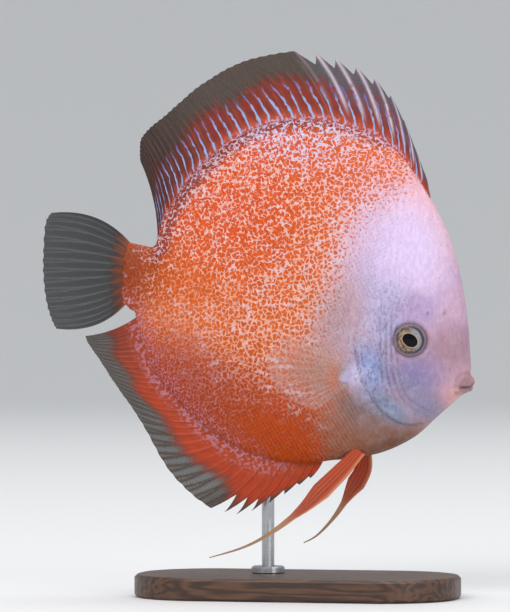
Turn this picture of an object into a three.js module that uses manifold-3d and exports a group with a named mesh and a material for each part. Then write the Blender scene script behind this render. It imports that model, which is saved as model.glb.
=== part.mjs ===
// Discus fish, a still life-size display model on a plain stand
//
// Millimetres, +Z up. The fish faces +X and its plane of symmetry is the XZ plane, so its right
// flank looks towards -Y. The origin is the middle of the underside of the stand's base.
// The fish is described in a frame of its own: x runs from the root of the tail fin to the mouth,
// z towards the back, and one group pitches that frame nose down and lifts it over the stand.

import * as THREE from 'three';
import { mergeVertices } from 'three/addons/utils/BufferGeometryUtils.js';
import Module from 'manifold-3d';

const wasm = await Module();
wasm.setup();

// Driving dimensions of the whole model

const GAP = 0.3;                      // clearance between pieces that meet
const PITCH = THREE.MathUtils.degToRad(17);   // nose-down lean of the fish
const TAIL_ROOT = [-62.2, 0, 115];    // where the fish's own origin stands over the base

// Stations of the body, from the root of the tail fin to the mouth
// Each has its point on the back, on the axis and on the belly, as [x, z], and its half width.

const STATIONS = [
  { back: [-2.4, 10.4], axis: [-0.4, 0], belly: [2.4, -10.4], half: 2.9 },
  { back: [2.2, 10.8], axis: [3.8, 0], belly: [5.0, -11.4], half: 3.6 },
  { back: [7.2, 12.6], axis: [8.5, 0.4], belly: [7.6, -12.8], half: 4.6 },
  { back: [7.9, 25.5], axis: [13.5, 1.2], belly: [12.0, -20.0], half: 6.2 },
  { back: [13.0, 40.0], axis: [21, 2.5], belly: [20.0, -30.0], half: 8.3 },
  { back: [22.5, 55.8], axis: [33, 4.5], belly: [32.0, -38.4], half: 10.6 },
  { back: [38.5, 68.2], axis: [48, 7], belly: [47.0, -44.8], half: 12.4 },
  { back: [58.0, 73.0], axis: [64, 9], belly: [64.0, -47.9], half: 13.4 },
  { back: [77.5, 71.2], axis: [79, 9.5], belly: [80.7, -45.9], half: 13.7 },
  { back: [92.0, 62.2], axis: [93, 8.5], belly: [94.6, -39.6], half: 13.2 },
  { back: [105.3, 48.9], axis: [105, 6.5], belly: [107.0, -33.2], half: 11.9 },
  { back: [115.2, 35.0], axis: [114.8, 3.6], belly: [116.5, -24.6], half: 9.9 },
  { back: [122.6, 20.2], axis: [122.2, 1], belly: [122.4, -15.2], half: 7.7 },
  { back: [127.3, 8.0], axis: [127.2, -0.8], belly: [127.0, -7.8], half: 5.6 },
  { back: [129.6, 1.6], axis: [129.8, -1.4], belly: [129.6, -4.2], half: 3.8 },
];
const LAST = STATIONS.length - 1;
const EDGE_HALF = 1.5;                // half thickness of the body where a fin stands on it
const KEEL_HALF = 1.1;                // half width of the facet along the bare back and belly
const KEEL_RISE = 0.5;                // how far the middle of that facet stands out
const DORSAL_SPAN = [9.4, 2.12];      // stations between which the dorsal fin stands, front first
const ANAL_SPAN = [8.5, 2.12];
const SIDE_COLUMNS = 12;              // facets from belly to back on each side
const TRUNK_STEP = 0.3;               // ring spacing along the trunk, in stations
const SHOULDER_STEP = 0.15;           // ring spacing where the outline turns sharply
const HEAD_STEP = 0.2;

// Cuts that part the body

const HEAD_REAR = [[99, 66], [97, 50], [94, 35], [92.5, 20], [93, 8], [96, -3], [101.5, -12],
  [109, -18.5], [117, -25], [122, -34]];
const HEAD_CUT_SEGMENTS = 18;
const TAIL_CUT_X = 6.2;
const TAIL_CUT_Z = 18;

// Head

const EYE = { at: [107.1, 8], radius: 6.1, depth: 3.4, sunk: 1.3 };
const ORBIT = { radius: 6.9, thickness: 0.95, sunk: 0.1 };
const NOSTRILS = [{ at: [115.8, 20.4], radius: 0.75 }, { at: [110.2, 18.6], radius: 0.5 }];
const NOSTRIL_DEPTH = 1.4;
const UPPER_LIP = { corner: [126.3, -2.7, 4.3], side: [129.0, -0.4, 2.9], front: [130.1, 0.6] };
const LOWER_LIP = { corner: [126.0, -4.4, 4.1], side: [128.8, -2.9, 2.8], front: [129.8, -2.1] };
const LIP_RADIUS = 1.15;
const GILL_COVER = [[93, 19], [88.6, 13], [88, 5], [91.5, -4.2], [97.2, -12.7], [105.8, -19.4],
  [113.5, -21], [118.4, -18.9], [111.5, -14.6], [104.5, -7], [100.8, 3], [97.2, 14]];
const GILL_RISE = 0.5;                // the cover stands this proud of the head
const GILL_THICKNESS = 1.5;
const GILL_SEGMENTS = 28;
const POCKET_REACH = 3;               // how far outside the head the cover's pocket is cut

// Fins, with the tips of their rays as [x, z] from the front ray to the rear one

const DORSAL_TIPS = [[93.8, 64.3], [70.4, 90.2], [44.0, 95.1], [21.8, 86.5], [7.6, 73.6],
  [-2.3, 59.4], [-9.2, 48.4], [-7.2, 39.7]];
const ANAL_TIPS = [[85.4, -50.0], [63.2, -70.8], [39.7, -65.8], [19.2, -48.0], [7.4, -38.9],
  [-0.1, -33.1], [-6.6, -28.4], [-8.4, -26.0]];
const CAUDAL_ROOT = [[-2.4, 10.4], [-0.4, 0], [2.4, -10.4]];
const CAUDAL_TIPS = [[-32.5, 12.7], [-33.4, 8.6], [-31.3, -1.0], [-28.7, -9.5], [-25.1, -17.7],
  [-21.5, -23.3], [-18.6, -26.4]];

const FIN_ROWS = [0, 0.12, 0.3, 0.5, 0.7, 0.87, 1];
const FIN_BASE_HALF = 1.3;            // half thickness where a fin meets the body's edge
const FIN_EDGE_HALF = 0.27;           // half thickness of the membrane at its rim
const MEMBRANE_HALF = 0.5;            // and above its foot
const FOOT_REACH = 0.3;               // share of a ray over which the thick foot fades
const RIDGE = { root: 0.4, tip: 0.06, start: 0.12 };   // how far a ray stands out of the membrane
const RAY_FOOT = 0.24;                // half width of a ray, as a share of the spacing
const NOTCH_AT_RAY = 0.4;             // share of a membrane's notch that is left beside a spine

// Small helpers

const lerp = THREE.MathUtils.lerp;
const clamp = THREE.MathUtils.clamp;

function spline(points) {
  return new THREE.SplineCurve(points.map(([x, z]) => new THREE.Vector2(x, z)));
}

function sequence(from, to, count) {
  return Array.from({ length: count }, (_, i) => lerp(from, to, i / (count - 1)));
}

// Fades from 0 to 1 between two values
function fade(value, from, to) {
  return THREE.MathUtils.smoothstep(value, from, to);
}

// A closed solid from vertices and triangles, turned so that its faces point out
function solid(vertices, triangles) {
  let volume = 0;
  for (const [a, b, c] of triangles) {
    volume += vertices[a].dot(vertices[b].clone().cross(vertices[c]));
  }
  const ordered = volume > 0 ? triangles : triangles.map(([a, b, c]) => [a, c, b]);
  return new wasm.Manifold(new wasm.Mesh({
    numProp: 3,
    vertProperties: new Float32Array(vertices.flatMap((v) => [v.x, v.y, v.z])),
    triVerts: new Uint32Array(ordered.flat()),
  }));
}

function solidFromGeometry(geometry) {
  const bare = geometry.clone();
  bare.deleteAttribute('normal');
  bare.deleteAttribute('uv');
  const merged = mergeVertices(bare, 1e-4);
  const place = merged.getAttribute('position');
  const index = merged.getIndex().array;
  const vertices = Array.from({ length: place.count }, (_, i) =>
    new THREE.Vector3().fromBufferAttribute(place, i));
  const triangles = [];
  for (let i = 0; i < index.length; i += 3) {
    const [a, b, c] = [index[i], index[i + 1], index[i + 2]];
    if (a !== b && b !== c && c !== a) triangles.push([a, b, c]);
  }
  return solid(vertices, triangles);
}

// The largest closed surface of a solid, which drops loose scraps
function largest(body) {
  const pieces = body.decompose();
  return pieces.reduce((best, piece) => (piece.volume() > best.volume() ? piece : best));
}

function geometryOf(body) {
  const mesh = body.getMesh();
  const places = [];
  for (let i = 0; i < mesh.numVert; i += 1) {
    places.push(...mesh.vertProperties.subarray(i * mesh.numProp, i * mesh.numProp + 3));
  }
  const geometry = new THREE.BufferGeometry();
  geometry.setAttribute('position', new THREE.Float32BufferAttribute(places, 3));
  geometry.setIndex(Array.from(mesh.triVerts));
  geometry.computeVertexNormals();
  return geometry;
}

// Joins closed rings of equal length into a tube with fan caps
function loft(rings) {
  const count = rings[0].length;
  const vertices = rings.flat();
  const triangles = [];
  for (let r = 0; r + 1 < rings.length; r += 1) {
    for (let i = 0; i < count; i += 1) {
      const a = r * count + i;
      const b = r * count + ((i + 1) % count);
      triangles.push([a, b, b + count], [a, b + count, a + count]);
    }
  }
  for (const [ring, start, flip] of [[rings[0], 0, true],
    [rings[rings.length - 1], (rings.length - 1) * count, false]]) {
    const centre = new THREE.Vector3();
    ring.forEach((point) => centre.addScaledVector(point, 1 / count));
    const hub = vertices.push(centre) - 1;
    for (let i = 0; i < count; i += 1) {
      const pair = [start + i, start + ((i + 1) % count)];
      triangles.push(flip ? [hub, pair[1], pair[0]] : [hub, pair[0], pair[1]]);
    }
  }
  return solid(vertices, triangles);
}

// A plate between two sheets of the same grid, with its rim closed
// place(t, v) is the middle sheet, and half(column, v) its half thickness along `across`.
function plate({ columns, rows, place, half, across }) {
  const nv = rows.length;
  const sheet = (side) => columns.flatMap((column) => rows.map((v) => {
    const direction = across(column.t);
    return place(column.t, v * column.reach, v).addScaledVector(direction, side * half(column, v));
  }));
  const vertices = [...sheet(1), ...sheet(-1)];
  const back = columns.length * nv;
  const triangles = [];
  for (let i = 0; i + 1 < columns.length; i += 1) {
    for (let j = 0; j + 1 < nv; j += 1) {
      const [a, b, c, d] = [i * nv + j, (i + 1) * nv + j, (i + 1) * nv + j + 1, i * nv + j + 1];
      triangles.push([a, b, c], [a, c, d]);
      triangles.push([back + a, back + c, back + b], [back + a, back + d, back + c]);
    }
  }
  const rim = [];
  for (let i = 0; i < columns.length; i += 1) rim.push(i * nv);
  for (let j = 1; j < nv; j += 1) rim.push((columns.length - 1) * nv + j);
  for (let i = columns.length - 2; i >= 0; i -= 1) rim.push(i * nv + nv - 1);
  for (let j = nv - 2; j >= 1; j -= 1) rim.push(j);
  rim.forEach((a, k) => {
    const b = rim[(k + 1) % rim.length];
    triangles.push([a, back + a, back + b], [a, back + b, b]);
  });
  return solid(vertices, triangles);
}

// Shape of the body

const backLine = spline(STATIONS.map((s) => s.back));
const axisLine = spline(STATIONS.map((s) => s.axis));
const bellyLine = spline(STATIONS.map((s) => s.belly));
const halfLine = spline(STATIONS.map((s, i) => [i, s.half]));

// Whether a fin stands on the edge at a station, as a fade from 0 to 1
function underFin(q, span) {
  return fade(q, span[1] - 0.5, span[1] - 0.2) * (1 - fade(q, span[0] + 0.1, span[0] + 0.5));
}

// A point of the flank at station q, from v = -1 at the belly to 1 at the back. Heights follow a
// parabola through belly, axis and back, and the width falls off as (1 - |v|^p)^k.
function flank(q, v, grow = 0) {
  const t = clamp(q / LAST, 0, 1);
  const back = backLine.getPoint(t);
  const belly = bellyLine.getPoint(t);
  const axis = axisLine.getPoint(t);
  const rise = back.clone().sub(belly).multiplyScalar(0.5);
  const bow = back.clone().add(belly).multiplyScalar(0.5).sub(axis);
  const point = axis.clone().addScaledVector(rise, v).addScaledVector(bow, v * v);
  const headness = fade(q, 9, 12);
  const edge = lerp(KEEL_HALF, EDGE_HALF, underFin(q, v > 0 ? DORSAL_SPAN : ANAL_SPAN));
  const round = (1 - Math.abs(v) ** lerp(2, 2.5, headness)) ** lerp(0.62, 0.5, headness);
  const half = halfLine.getPoint(t).y;
  return new THREE.Vector3(point.x, edge + (half - edge) * round + grow, point.y);
}

function ring(q, grow) {
  const right = [];
  const left = [];
  for (const turn of sequence(-1, 1, SIDE_COLUMNS + 1)) {
    const point = flank(q, Math.sin(turn * Math.PI / 2), grow);
    right.push(new THREE.Vector3(point.x, -point.y, point.z));
    left.unshift(point);
  }
  const crown = (side, span) => {
    const line = side > 0 ? backLine : bellyLine;
    const spot = line.getPoint(clamp(q / LAST, 0, 1));
    const rise = KEEL_RISE * (1 - underFin(q, span));
    const away = spot.clone().sub(axisLine.getPoint(clamp(q / LAST, 0, 1))).normalize();
    return new THREE.Vector3(spot.x + away.x * rise, 0, spot.y + away.y * rise);
  };
  return [...right, crown(1, DORSAL_SPAN), ...left, crown(-1, ANAL_SPAN)];
}

function ringStations() {
  const list = [];
  let q = 0;
  while (q < LAST - HEAD_STEP / 2) {
    list.push(q);
    const sharp = q > 1.4 && q < 3.6;
    q += sharp ? SHOULDER_STEP : (q < 9.4 ? TRUNK_STEP : HEAD_STEP);
  }
  return [...list, LAST];
}

function bodyLoft(grow = 0) {
  return loft(ringStations().map((q) => ring(q, grow)));
}

// The station and height of the flank at a side-view place, found by narrowing a search
function locate(x, z) {
  let [q, v] = [LAST / 2, 0];
  let [dq, dv] = [LAST / 2, 1];
  for (let pass = 0; pass < 40; pass += 1) {
    let best = Infinity;
    let next = [q, v];
    for (const i of [-1, -0.5, 0, 0.5, 1]) {
      for (const j of [-1, -0.5, 0, 0.5, 1]) {
        const [tq, tv] = [clamp(q + i * dq, 0, LAST), clamp(v + j * dv, -1, 1)];
        const point = flank(tq, tv);
        const miss = Math.hypot(point.x - x, point.z - z);
        if (miss < best) [best, next] = [miss, [tq, tv]];
      }
    }
    [q, v] = next;
    dq *= 0.72;
    dv *= 0.72;
  }
  return { q, v };
}

// The skin point over a side-view place and the outward normal there, on side -1 or 1
function skinAt([x, z], side) {
  const { q, v } = locate(x, z);
  const step = 0.02;
  const point = flank(q, v);
  const along = flank(q + step, v).sub(flank(q - step, v));
  const up = flank(q, v + step).sub(flank(q, v - step));
  const normal = up.cross(along).normalize();
  point.y *= side;
  normal.y *= side;
  return { point, normal };
}

// Cutters made of extruded outlines, as wide as the body

const CUT_REACH = 30;

function extrudeAcross(outline, from, to) {
  const shape = new THREE.Shape(outline);
  const geometry = new THREE.ExtrudeGeometry(shape, { depth: to - from, bevelEnabled: false });
  geometry.applyMatrix4(new THREE.Matrix4().set(
    1, 0, 0, 0,
    0, 0, 1, from,
    0, 1, 0, 0,
    0, 0, 0, 1,
  ));
  return solidFromGeometry(geometry);
}

// A thin wall along a line of the side view
function wall(points, segments) {
  const line = spline(points);
  const sides = [[], []];
  for (const t of sequence(0, 1, segments + 1)) {
    const spot = line.getPoint(t);
    const along = line.getTangent(t);
    const normal = new THREE.Vector2(-along.y, along.x);
    sides[0].push(spot.clone().addScaledVector(normal, GAP / 2));
    sides[1].unshift(spot.clone().addScaledVector(normal, -GAP / 2));
  }
  return extrudeAcross([...sides[0], ...sides[1]], -CUT_REACH, CUT_REACH);
}

// Outline of the gill cover, grown outwards by a margin
function gillOutline(margin) {
  const closed = new THREE.CatmullRomCurve3(
    GILL_COVER.map(([x, z]) => new THREE.Vector3(x, z, 0)), true);
  const centre = new THREE.Vector2();
  const points = closed.getPoints(GILL_SEGMENTS).slice(0, -1)
    .map((p) => new THREE.Vector2(p.x, p.y));
  points.forEach((p) => centre.addScaledVector(p, 1 / points.length));
  return points.map((p, i) => {
    const before = points[(i + points.length - 1) % points.length];
    const after = points[(i + 1) % points.length];
    const along = after.clone().sub(before).normalize();
    const spin = Math.sign(THREE.ShapeUtils.area(points));
    return p.clone().add(new THREE.Vector2(along.y, -along.x).multiplyScalar(margin * spin));
  });
}

function gillPrism(margin, side) {
  const [from, to] = side > 0 ? [2, CUT_REACH] : [-CUT_REACH, -2];
  return extrudeAcross(gillOutline(margin), from, to);
}

// Eyes: a flattened lens that looks out along the skin's normal

function eyeProfile(grow) {
  return sequence(-90, 90, 9).map((degrees) => {
    const turn = THREE.MathUtils.degToRad(degrees);
    return new THREE.Vector2(Math.abs(degrees) === 90 ? 0 : (EYE.radius + grow) * Math.cos(turn),
      (EYE.depth + grow) * Math.sin(turn));
  });
}

function placeOnSkin(geometry, spot, side, sunk) {
  const { point, normal } = skinAt(spot, side);
  const turn = new THREE.Quaternion().setFromUnitVectors(new THREE.Vector3(0, 1, 0), normal);
  geometry.applyQuaternion(turn);
  const at = point.addScaledVector(normal, -sunk);
  geometry.translate(at.x, at.y, at.z);
  return solidFromGeometry(geometry);
}

function eyeSolid(side, grow = 0) {
  return placeOnSkin(new THREE.LatheGeometry(eyeProfile(grow), 20), EYE.at, side, EYE.sunk);
}

// The raised ring of skin round an eye
function orbitSolid(side) {
  const ringGeometry = new THREE.TorusGeometry(ORBIT.radius, ORBIT.thickness, 6, 20);
  ringGeometry.rotateX(Math.PI / 2);
  return placeOnSkin(ringGeometry, EYE.at, side, ORBIT.sunk);
}

function nostrilSolid(nostril, side) {
  const pit = new THREE.CylinderGeometry(nostril.radius, nostril.radius, NOSTRIL_DEPTH * 2, 10);
  return placeOnSkin(pit, nostril.at, side, 0);
}

// Lips: one tube on each jaw from corner to corner, with its ends sunk in the head
function lipSolid({ corner, side, front }) {
  const sunk = [corner[0] - 1.6, corner[1], corner[2] - 1.6];
  const half = [sunk, corner, side].map(([x, z, y]) => new THREE.Vector3(x, y, z));
  const path = new THREE.CatmullRomCurve3([
    ...half,
    new THREE.Vector3(front[0], 0, front[1]),
    ...half.map((p) => new THREE.Vector3(p.x, -p.y, p.z)).reverse(),
  ]);
  const section = new THREE.Shape(sequence(0, 2 * Math.PI, 9).slice(0, -1)
    .map((turn) => new THREE.Vector2(LIP_RADIUS * Math.cos(turn), LIP_RADIUS * Math.sin(turn))));
  return solidFromGeometry(new THREE.ExtrudeGeometry(section, { steps: 16, extrudePath: path }));
}

// Fins

// Columns of a fin's grid: each ray has a crest between two feet, and a spine's membrane is
// notched between it and the next
function rayColumns({ from, to, rays, notch }) {
  const step = (to - from) / (rays - 1);
  const foot = step * RAY_FOOT;
  const beside = 1 - notch * NOTCH_AT_RAY;
  const list = [];
  for (let k = 0; k < rays; k += 1) {
    const t = from + k * step;
    if (k > 0) list.push({ t: t - foot, ridge: 0, reach: beside });
    list.push({ t, ridge: 1, reach: 1 });
    if (k < rays - 1) list.push({ t: t + foot, ridge: 0, reach: beside });
    if (notch > 0 && k < rays - 1) list.push({ t: t + step / 2, ridge: 0, reach: 1 - notch });
  }
  return list;
}

// Half thickness of a fin: thick at its foot, then a thin membrane with the rays raised on it
function finHalf(baseHalf) {
  return (column, v) => {
    const membrane = lerp(MEMBRANE_HALF, FIN_EDGE_HALF, v);
    const foot = (baseHalf - membrane) * Math.max(0, 1 - v / FOOT_REACH) ** 2;
    const ridge = lerp(RIDGE.root, RIDGE.tip, v) * Math.min(1, v / RIDGE.start);
    return membrane + foot + column.ridge * ridge;
  };
}

// A ray from root to tip, bent to one side by a share of its length
function bentRay(root, tip, bend, v) {
  const along = tip.clone().sub(root);
  const aside = new THREE.Vector2(-along.y, along.x);
  const length = along.length();
  return root.clone().addScaledVector(along, v * (1 - GAP / length) + GAP / length)
    .addScaledVector(aside, bend * 4 * v * (1 - v));
}

const ACROSS = new THREE.Vector3(0, 1, 0);
const WAVE_TURNS = 9;                 // radians of sideways wave along an edge fin's rim

// A fin that stands on the back or belly line
function edgeFin({ line, span, tips, bend, wave, columns }) {
  const tipLine = spline(tips);
  return plate({
    columns,
    rows: FIN_ROWS,
    across: () => ACROSS,
    half: finHalf(FIN_BASE_HALF),
    place: (t, v) => {
      const root = line.getPoint(lerp(span[0], span[1], t) / LAST);
      const spot = bentRay(root, tipLine.getPoint(t), bend, v);
      return new THREE.Vector3(spot.x, wave * Math.sin(t * WAVE_TURNS) * v * v, spot.y);
    },
  });
}

const dorsalShape = { line: backLine, span: DORSAL_SPAN, tips: DORSAL_TIPS, bend: -0.06, wave: 1 };
const analShape = { line: bellyLine, span: ANAL_SPAN, tips: ANAL_TIPS, bend: 0.07, wave: 1.2 };
const DORSAL_SPINES = { from: 0.004, to: 0.336, rays: 9, notch: 0.2 };
const DORSAL_RAYS = { from: 0.3395, to: 0.995, rays: 18, notch: 0 };
const ANAL_SPINES = { from: 0.004, to: 0.2, rays: 8, notch: 0.26 };
const ANAL_RAYS = { from: 0.2035, to: 0.995, rays: 17, notch: 0 };

// The tail fin fans out behind the root of the tail and bends a little to the right
const CAUDAL = { rays: 14, bend: 0.14, sweep: 3.2, baseHalf: 2.4, edgeHalf: 0.8, taper: 0.85 };

function caudalFin() {
  const rootLine = spline(CAUDAL_ROOT);
  const tipLine = spline(CAUDAL_TIPS);
  return plate({
    columns: rayColumns({ from: 0, to: 1, rays: CAUDAL.rays, notch: 0 }),
    rows: FIN_ROWS,
    across: () => ACROSS,
    half: (column, v) => {
      const edgeOn = Math.sqrt(1 - (2 * column.t - 1) ** 2 * CAUDAL.taper);
      return finHalf(Math.max(CAUDAL.edgeHalf, CAUDAL.baseHalf * edgeOn))(column, v);
    },
    place: (t, v) => {
      const root = rootLine.getPoint(t);
      const tip = tipLine.getPoint(t);
      const spot = bentRay(root, tip, -CAUDAL.bend * (1 - 2 * t), v);
      return new THREE.Vector3(spot.x, -CAUDAL.sweep * v * v, spot.y);
    },
  });
}

// A breast fin: a fan from a short upright root on the flank, held out from the body
const PECTORAL = {
  rootTop: [88.6, -5.6], rootBottom: [90.8, -13.2], rays: 8, sunk: 0.9, baseHalf: 0.9,
  angles: [10, -58], outward: 30, length: [25, 30, 24, 16], bulge: 2.2,
};

function pectoralFin(side, grow = 0) {
  const top = skinAt(PECTORAL.rootTop, side).point;
  const bottom = skinAt(PECTORAL.rootBottom, side).point;
  const lengths = spline(PECTORAL.length.map((length, i) => [i, length]));
  const outward = THREE.MathUtils.degToRad(PECTORAL.outward);
  const direction = (t) => {
    const angle = THREE.MathUtils.degToRad(lerp(...PECTORAL.angles, t));
    return new THREE.Vector3(-Math.cos(angle) * Math.cos(outward), side * Math.sin(outward),
      Math.sin(angle) * Math.cos(outward));
  };
  const across = direction(0.5).cross(bottom.clone().sub(top)).normalize();
  const columns = rayColumns({ from: 0, to: 1, rays: PECTORAL.rays, notch: 0 });
  const margin = grow / top.distanceTo(bottom);
  return plate({
    columns: columns.map((c) => ({ ...c, t: lerp(-margin, 1 + margin, c.t) })),
    rows: FIN_ROWS,
    across: () => across,
    half: (column, v) => finHalf(PECTORAL.baseHalf)(column, v) + grow,
    place: (t, v) => {
      const root = top.clone().lerp(bottom, t);
      const reach = lerp(-PECTORAL.sunk - grow, lengths.getPoint(clamp(t, 0, 1)).y, v);
      const spot = root.addScaledVector(direction(t), reach);
      spot.y += side * PECTORAL.bulge * v * v * Math.cos((t - 0.5) * Math.PI);
      return spot;
    },
  });
}

// A pelvic fin: a narrow leaf on a path of [x, z, distance from the plane of symmetry] that runs
// out into a filament, with widths at shares of its length
const PELVIC_RIGHT = [[100.2, -34.8, 3.4], [96.4, -43, 5.2], [91.2, -53, 7], [86.8, -61, 8],
  [79.2, -71.6, 8.6], [71, -79.8, 8.6], [60.1, -87.2, 8]];
const PELVIC_LEFT = [[100.6, -34.8, 3.4], [101.7, -42, 5.6], [99.2, -51, 8], [96, -61, 10.4],
  [91.5, -69.8, 12.6], [87.2, -74.3, 14]];
const PELVIC_WIDTHS = [[0, 4.2], [0.15, 5.8], [0.3, 6.6], [0.42, 3.8], [0.5, 2.2], [0.7, 1.3],
  [1, 0.6]];
const PELVIC = { rows: 13, rays: 4, rootHalf: 0.8, tipHalf: 0.3, thinFrom: 0.4, ridge: 0.3,
  ridgeReach: 0.5 };

function pelvicFin(path, side, grow = 0) {
  const line = new THREE.CatmullRomCurve3(path.map(([x, z, y]) => new THREE.Vector3(x, side * y, z)));
  const widthAt = (share) => {
    const place = PELVIC_WIDTHS.findIndex(([s]) => s >= share);
    const after = Math.max(1, place);
    const [s0, w0] = PELVIC_WIDTHS[after - 1];
    const [s1, w1] = PELVIC_WIDTHS[after];
    return lerp(w0, w1, (share - s0) / (s1 - s0));
  };
  return plate({
    columns: rayColumns({ from: 0, to: 1, rays: PELVIC.rays, notch: 0 }),
    rows: sequence(0, 1, PELVIC.rows),
    across: () => ACROSS,
    half: (column, v) => {
      const leaf = lerp(PELVIC.rootHalf, PELVIC.tipHalf, Math.min(1, v / PELVIC.thinFrom));
      return leaf + grow + column.ridge * lerp(PELVIC.ridge, 0, Math.min(1, v / PELVIC.ridgeReach));
    },
    place: (t, v) => {
      const spot = line.getPointAt(v);
      const along = line.getTangentAt(v);
      const aside = new THREE.Vector3(-along.z, 0, along.x).normalize();
      const width = widthAt(v) + 2 * grow;
      spot.addScaledVector(aside, (t - 0.5) * width);
      return v === 0 ? spot.addScaledVector(along, -grow) : spot;
    },
  });
}

// Stand: a flat base, a washer and one rod that rises on the far side into the lower flank

const BASE = { length: 116, width: 60, corner: 26, height: 8, chamfer: 1 };
const ROD = { x: -12, y: 6.6, radius: 2.25, top: 88 };
const WASHER = { outer: 6, height: 2.2, chamfer: 0.6 };

function baseSolid() {
  const [x, y, r] = [BASE.length / 2 - BASE.chamfer, BASE.width / 2 - BASE.chamfer, BASE.corner];
  const shape = new THREE.Shape();
  shape.moveTo(-x + r, -y);
  shape.lineTo(x - r, -y);
  shape.absarc(x - r, -y + r, r, -Math.PI / 2, 0);
  shape.lineTo(x, y - r);
  shape.absarc(x - r, y - r, r, 0, Math.PI / 2);
  shape.lineTo(-x + r, y);
  shape.absarc(-x + r, y - r, r, Math.PI / 2, Math.PI);
  shape.lineTo(-x, -y + r);
  shape.absarc(-x + r, -y + r, r, Math.PI, 1.5 * Math.PI);
  const geometry = new THREE.ExtrudeGeometry(shape, {
    depth: BASE.height - 2 * BASE.chamfer,
    bevelThickness: BASE.chamfer,
    bevelSize: BASE.chamfer,
    bevelSegments: 1,
    curveSegments: 6,
  });
  geometry.translate(0, 0, BASE.chamfer);
  return solidFromGeometry(geometry);
}

function rodGeometry(grow = 0) {
  const foot = BASE.height + GAP;
  const geometry = new THREE.CylinderGeometry(ROD.radius + grow, ROD.radius + grow,
    ROD.top + grow - foot, 20);
  geometry.rotateX(Math.PI / 2);
  geometry.translate(ROD.x, ROD.y, (ROD.top + grow + foot) / 2);
  return geometry;
}

function washerGeometry() {
  const inner = ROD.radius + GAP;
  const [low, high] = [BASE.height + GAP, BASE.height + GAP + WASHER.height];
  const profile = [[inner, low], [WASHER.outer, low], [WASHER.outer, high - WASHER.chamfer],
    [WASHER.outer - WASHER.chamfer, high], [inner, high], [inner, low]];
  const geometry = new THREE.LatheGeometry(profile.map(([r, z]) => new THREE.Vector2(r, z)), 28);
  geometry.rotateX(Math.PI / 2);
  geometry.translate(ROD.x, ROD.y, 0);
  return geometry;
}

// Groups: the fish in its own frame, and the stand in the model's frame

const model = new THREE.Group();
const fish = new THREE.Group();
fish.rotation.y = PITCH;
fish.position.set(...TAIL_ROOT);
fish.updateMatrixWorld(true);
model.add(fish);

function finish(color, roughness, metalness = 0) {
  return new THREE.MeshStandardMaterial({ color, roughness, metalness });
}

const skinHead = finish(0xcdb4cd, 0.45);
const skinTrunk = finish(0xe0652a, 0.5);
const skinGill = finish(0xa5b9d2, 0.4);
const finRed = finish(0x7a2f22, 0.55);
const finClear = finish(0x8d8f90, 0.5);
const finOrange = finish(0xc34b23, 0.5);
const eyeCream = finish(0xd8c8a8, 0.15);
const walnut = finish(0x4a3122, 0.5);
const steel = finish(0xb9bcc0, 0.3, 1);

function addNode(group, name, geometry, material) {
  const mesh = new THREE.Mesh(geometry, material);
  mesh.name = name;
  group.add(mesh);
}

// Body: lofted whole, parted by thin walls, then fitted with its eyes, lips and gill covers

const rodInFish = rodGeometry(GAP).applyMatrix4(fish.matrixWorld.clone().invert());
const flesh = bodyLoft()
  .subtract(wall(HEAD_REAR, HEAD_CUT_SEGMENTS))
  .subtract(wall([[TAIL_CUT_X, -TAIL_CUT_Z], [TAIL_CUT_X, TAIL_CUT_Z]], 1));
const byPlace = flesh.decompose().filter((piece) => piece.volume() > 1)
  .sort((a, b) => a.boundingBox().min[0] - b.boundingBox().min[0]);
const [tailBase, trunkWhole, headWhole] = byPlace;

const outerSkin = bodyLoft(GILL_RISE);
const coverBed = bodyLoft(GILL_RISE - GILL_THICKNESS);
const farSkin = bodyLoft(GILL_RISE + POCKET_REACH);
const pocketBed = bodyLoft(GILL_RISE - GILL_THICKNESS - GAP);

let head = headWhole.add(lipSolid(UPPER_LIP)).add(lipSolid(LOWER_LIP));
let trunk = trunkWhole.subtract(solidFromGeometry(rodInFish));
for (const side of [-1, 1]) {
  head = head.add(orbitSolid(side)).subtract(eyeSolid(side, GAP));
  for (const nostril of NOSTRILS) head = head.subtract(nostrilSolid(nostril, side));
  const pocket = farSkin.intersect(gillPrism(GAP, side)).subtract(pocketBed);
  head = head.subtract(pocket);
  trunk = trunk.subtract(pocket)
    .subtract(pectoralFin(side, GAP))
    .subtract(pelvicFin(side < 0 ? PELVIC_RIGHT : PELVIC_LEFT, side, GAP));
}

addNode(fish, 'head', geometryOf(largest(head)), skinHead);
addNode(fish, 'trunk', geometryOf(largest(trunk)), skinTrunk);
addNode(fish, 'tail_base', geometryOf(largest(tailBase)), skinTrunk);

for (const [side, name] of [[-1, 'right'], [1, 'left']]) {
  const cover = outerSkin.intersect(gillPrism(0, side)).subtract(coverBed);
  addNode(fish, `gill_cover_${name}`, geometryOf(largest(cover)), skinGill);
  addNode(fish, `eye_${name}`, geometryOf(eyeSolid(side)), eyeCream);
  addNode(fish, `pectoral_fin_${name}`, geometryOf(pectoralFin(side)), finClear);
  addNode(fish, `pelvic_fin_${name}`,
    geometryOf(pelvicFin(side < 0 ? PELVIC_RIGHT : PELVIC_LEFT, side)), finOrange);
}

for (const [name, shape, span] of [
  ['dorsal_fin_spines', dorsalShape, DORSAL_SPINES],
  ['dorsal_fin_rays', dorsalShape, DORSAL_RAYS],
  ['anal_fin_spines', analShape, ANAL_SPINES],
  ['anal_fin_rays', analShape, ANAL_RAYS],
]) {
  addNode(fish, name, geometryOf(edgeFin({ ...shape, columns: rayColumns(span) })), finRed);
}
addNode(fish, 'caudal_fin', geometryOf(caudalFin()), finClear);

addNode(model, 'stand_base', geometryOf(baseSolid()), walnut);
addNode(model, 'stand_rod', geometryOf(solidFromGeometry(rodGeometry())), steel);
addNode(model, 'stand_washer', geometryOf(solidFromGeometry(washerGeometry())), steel);

export default model;
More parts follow.
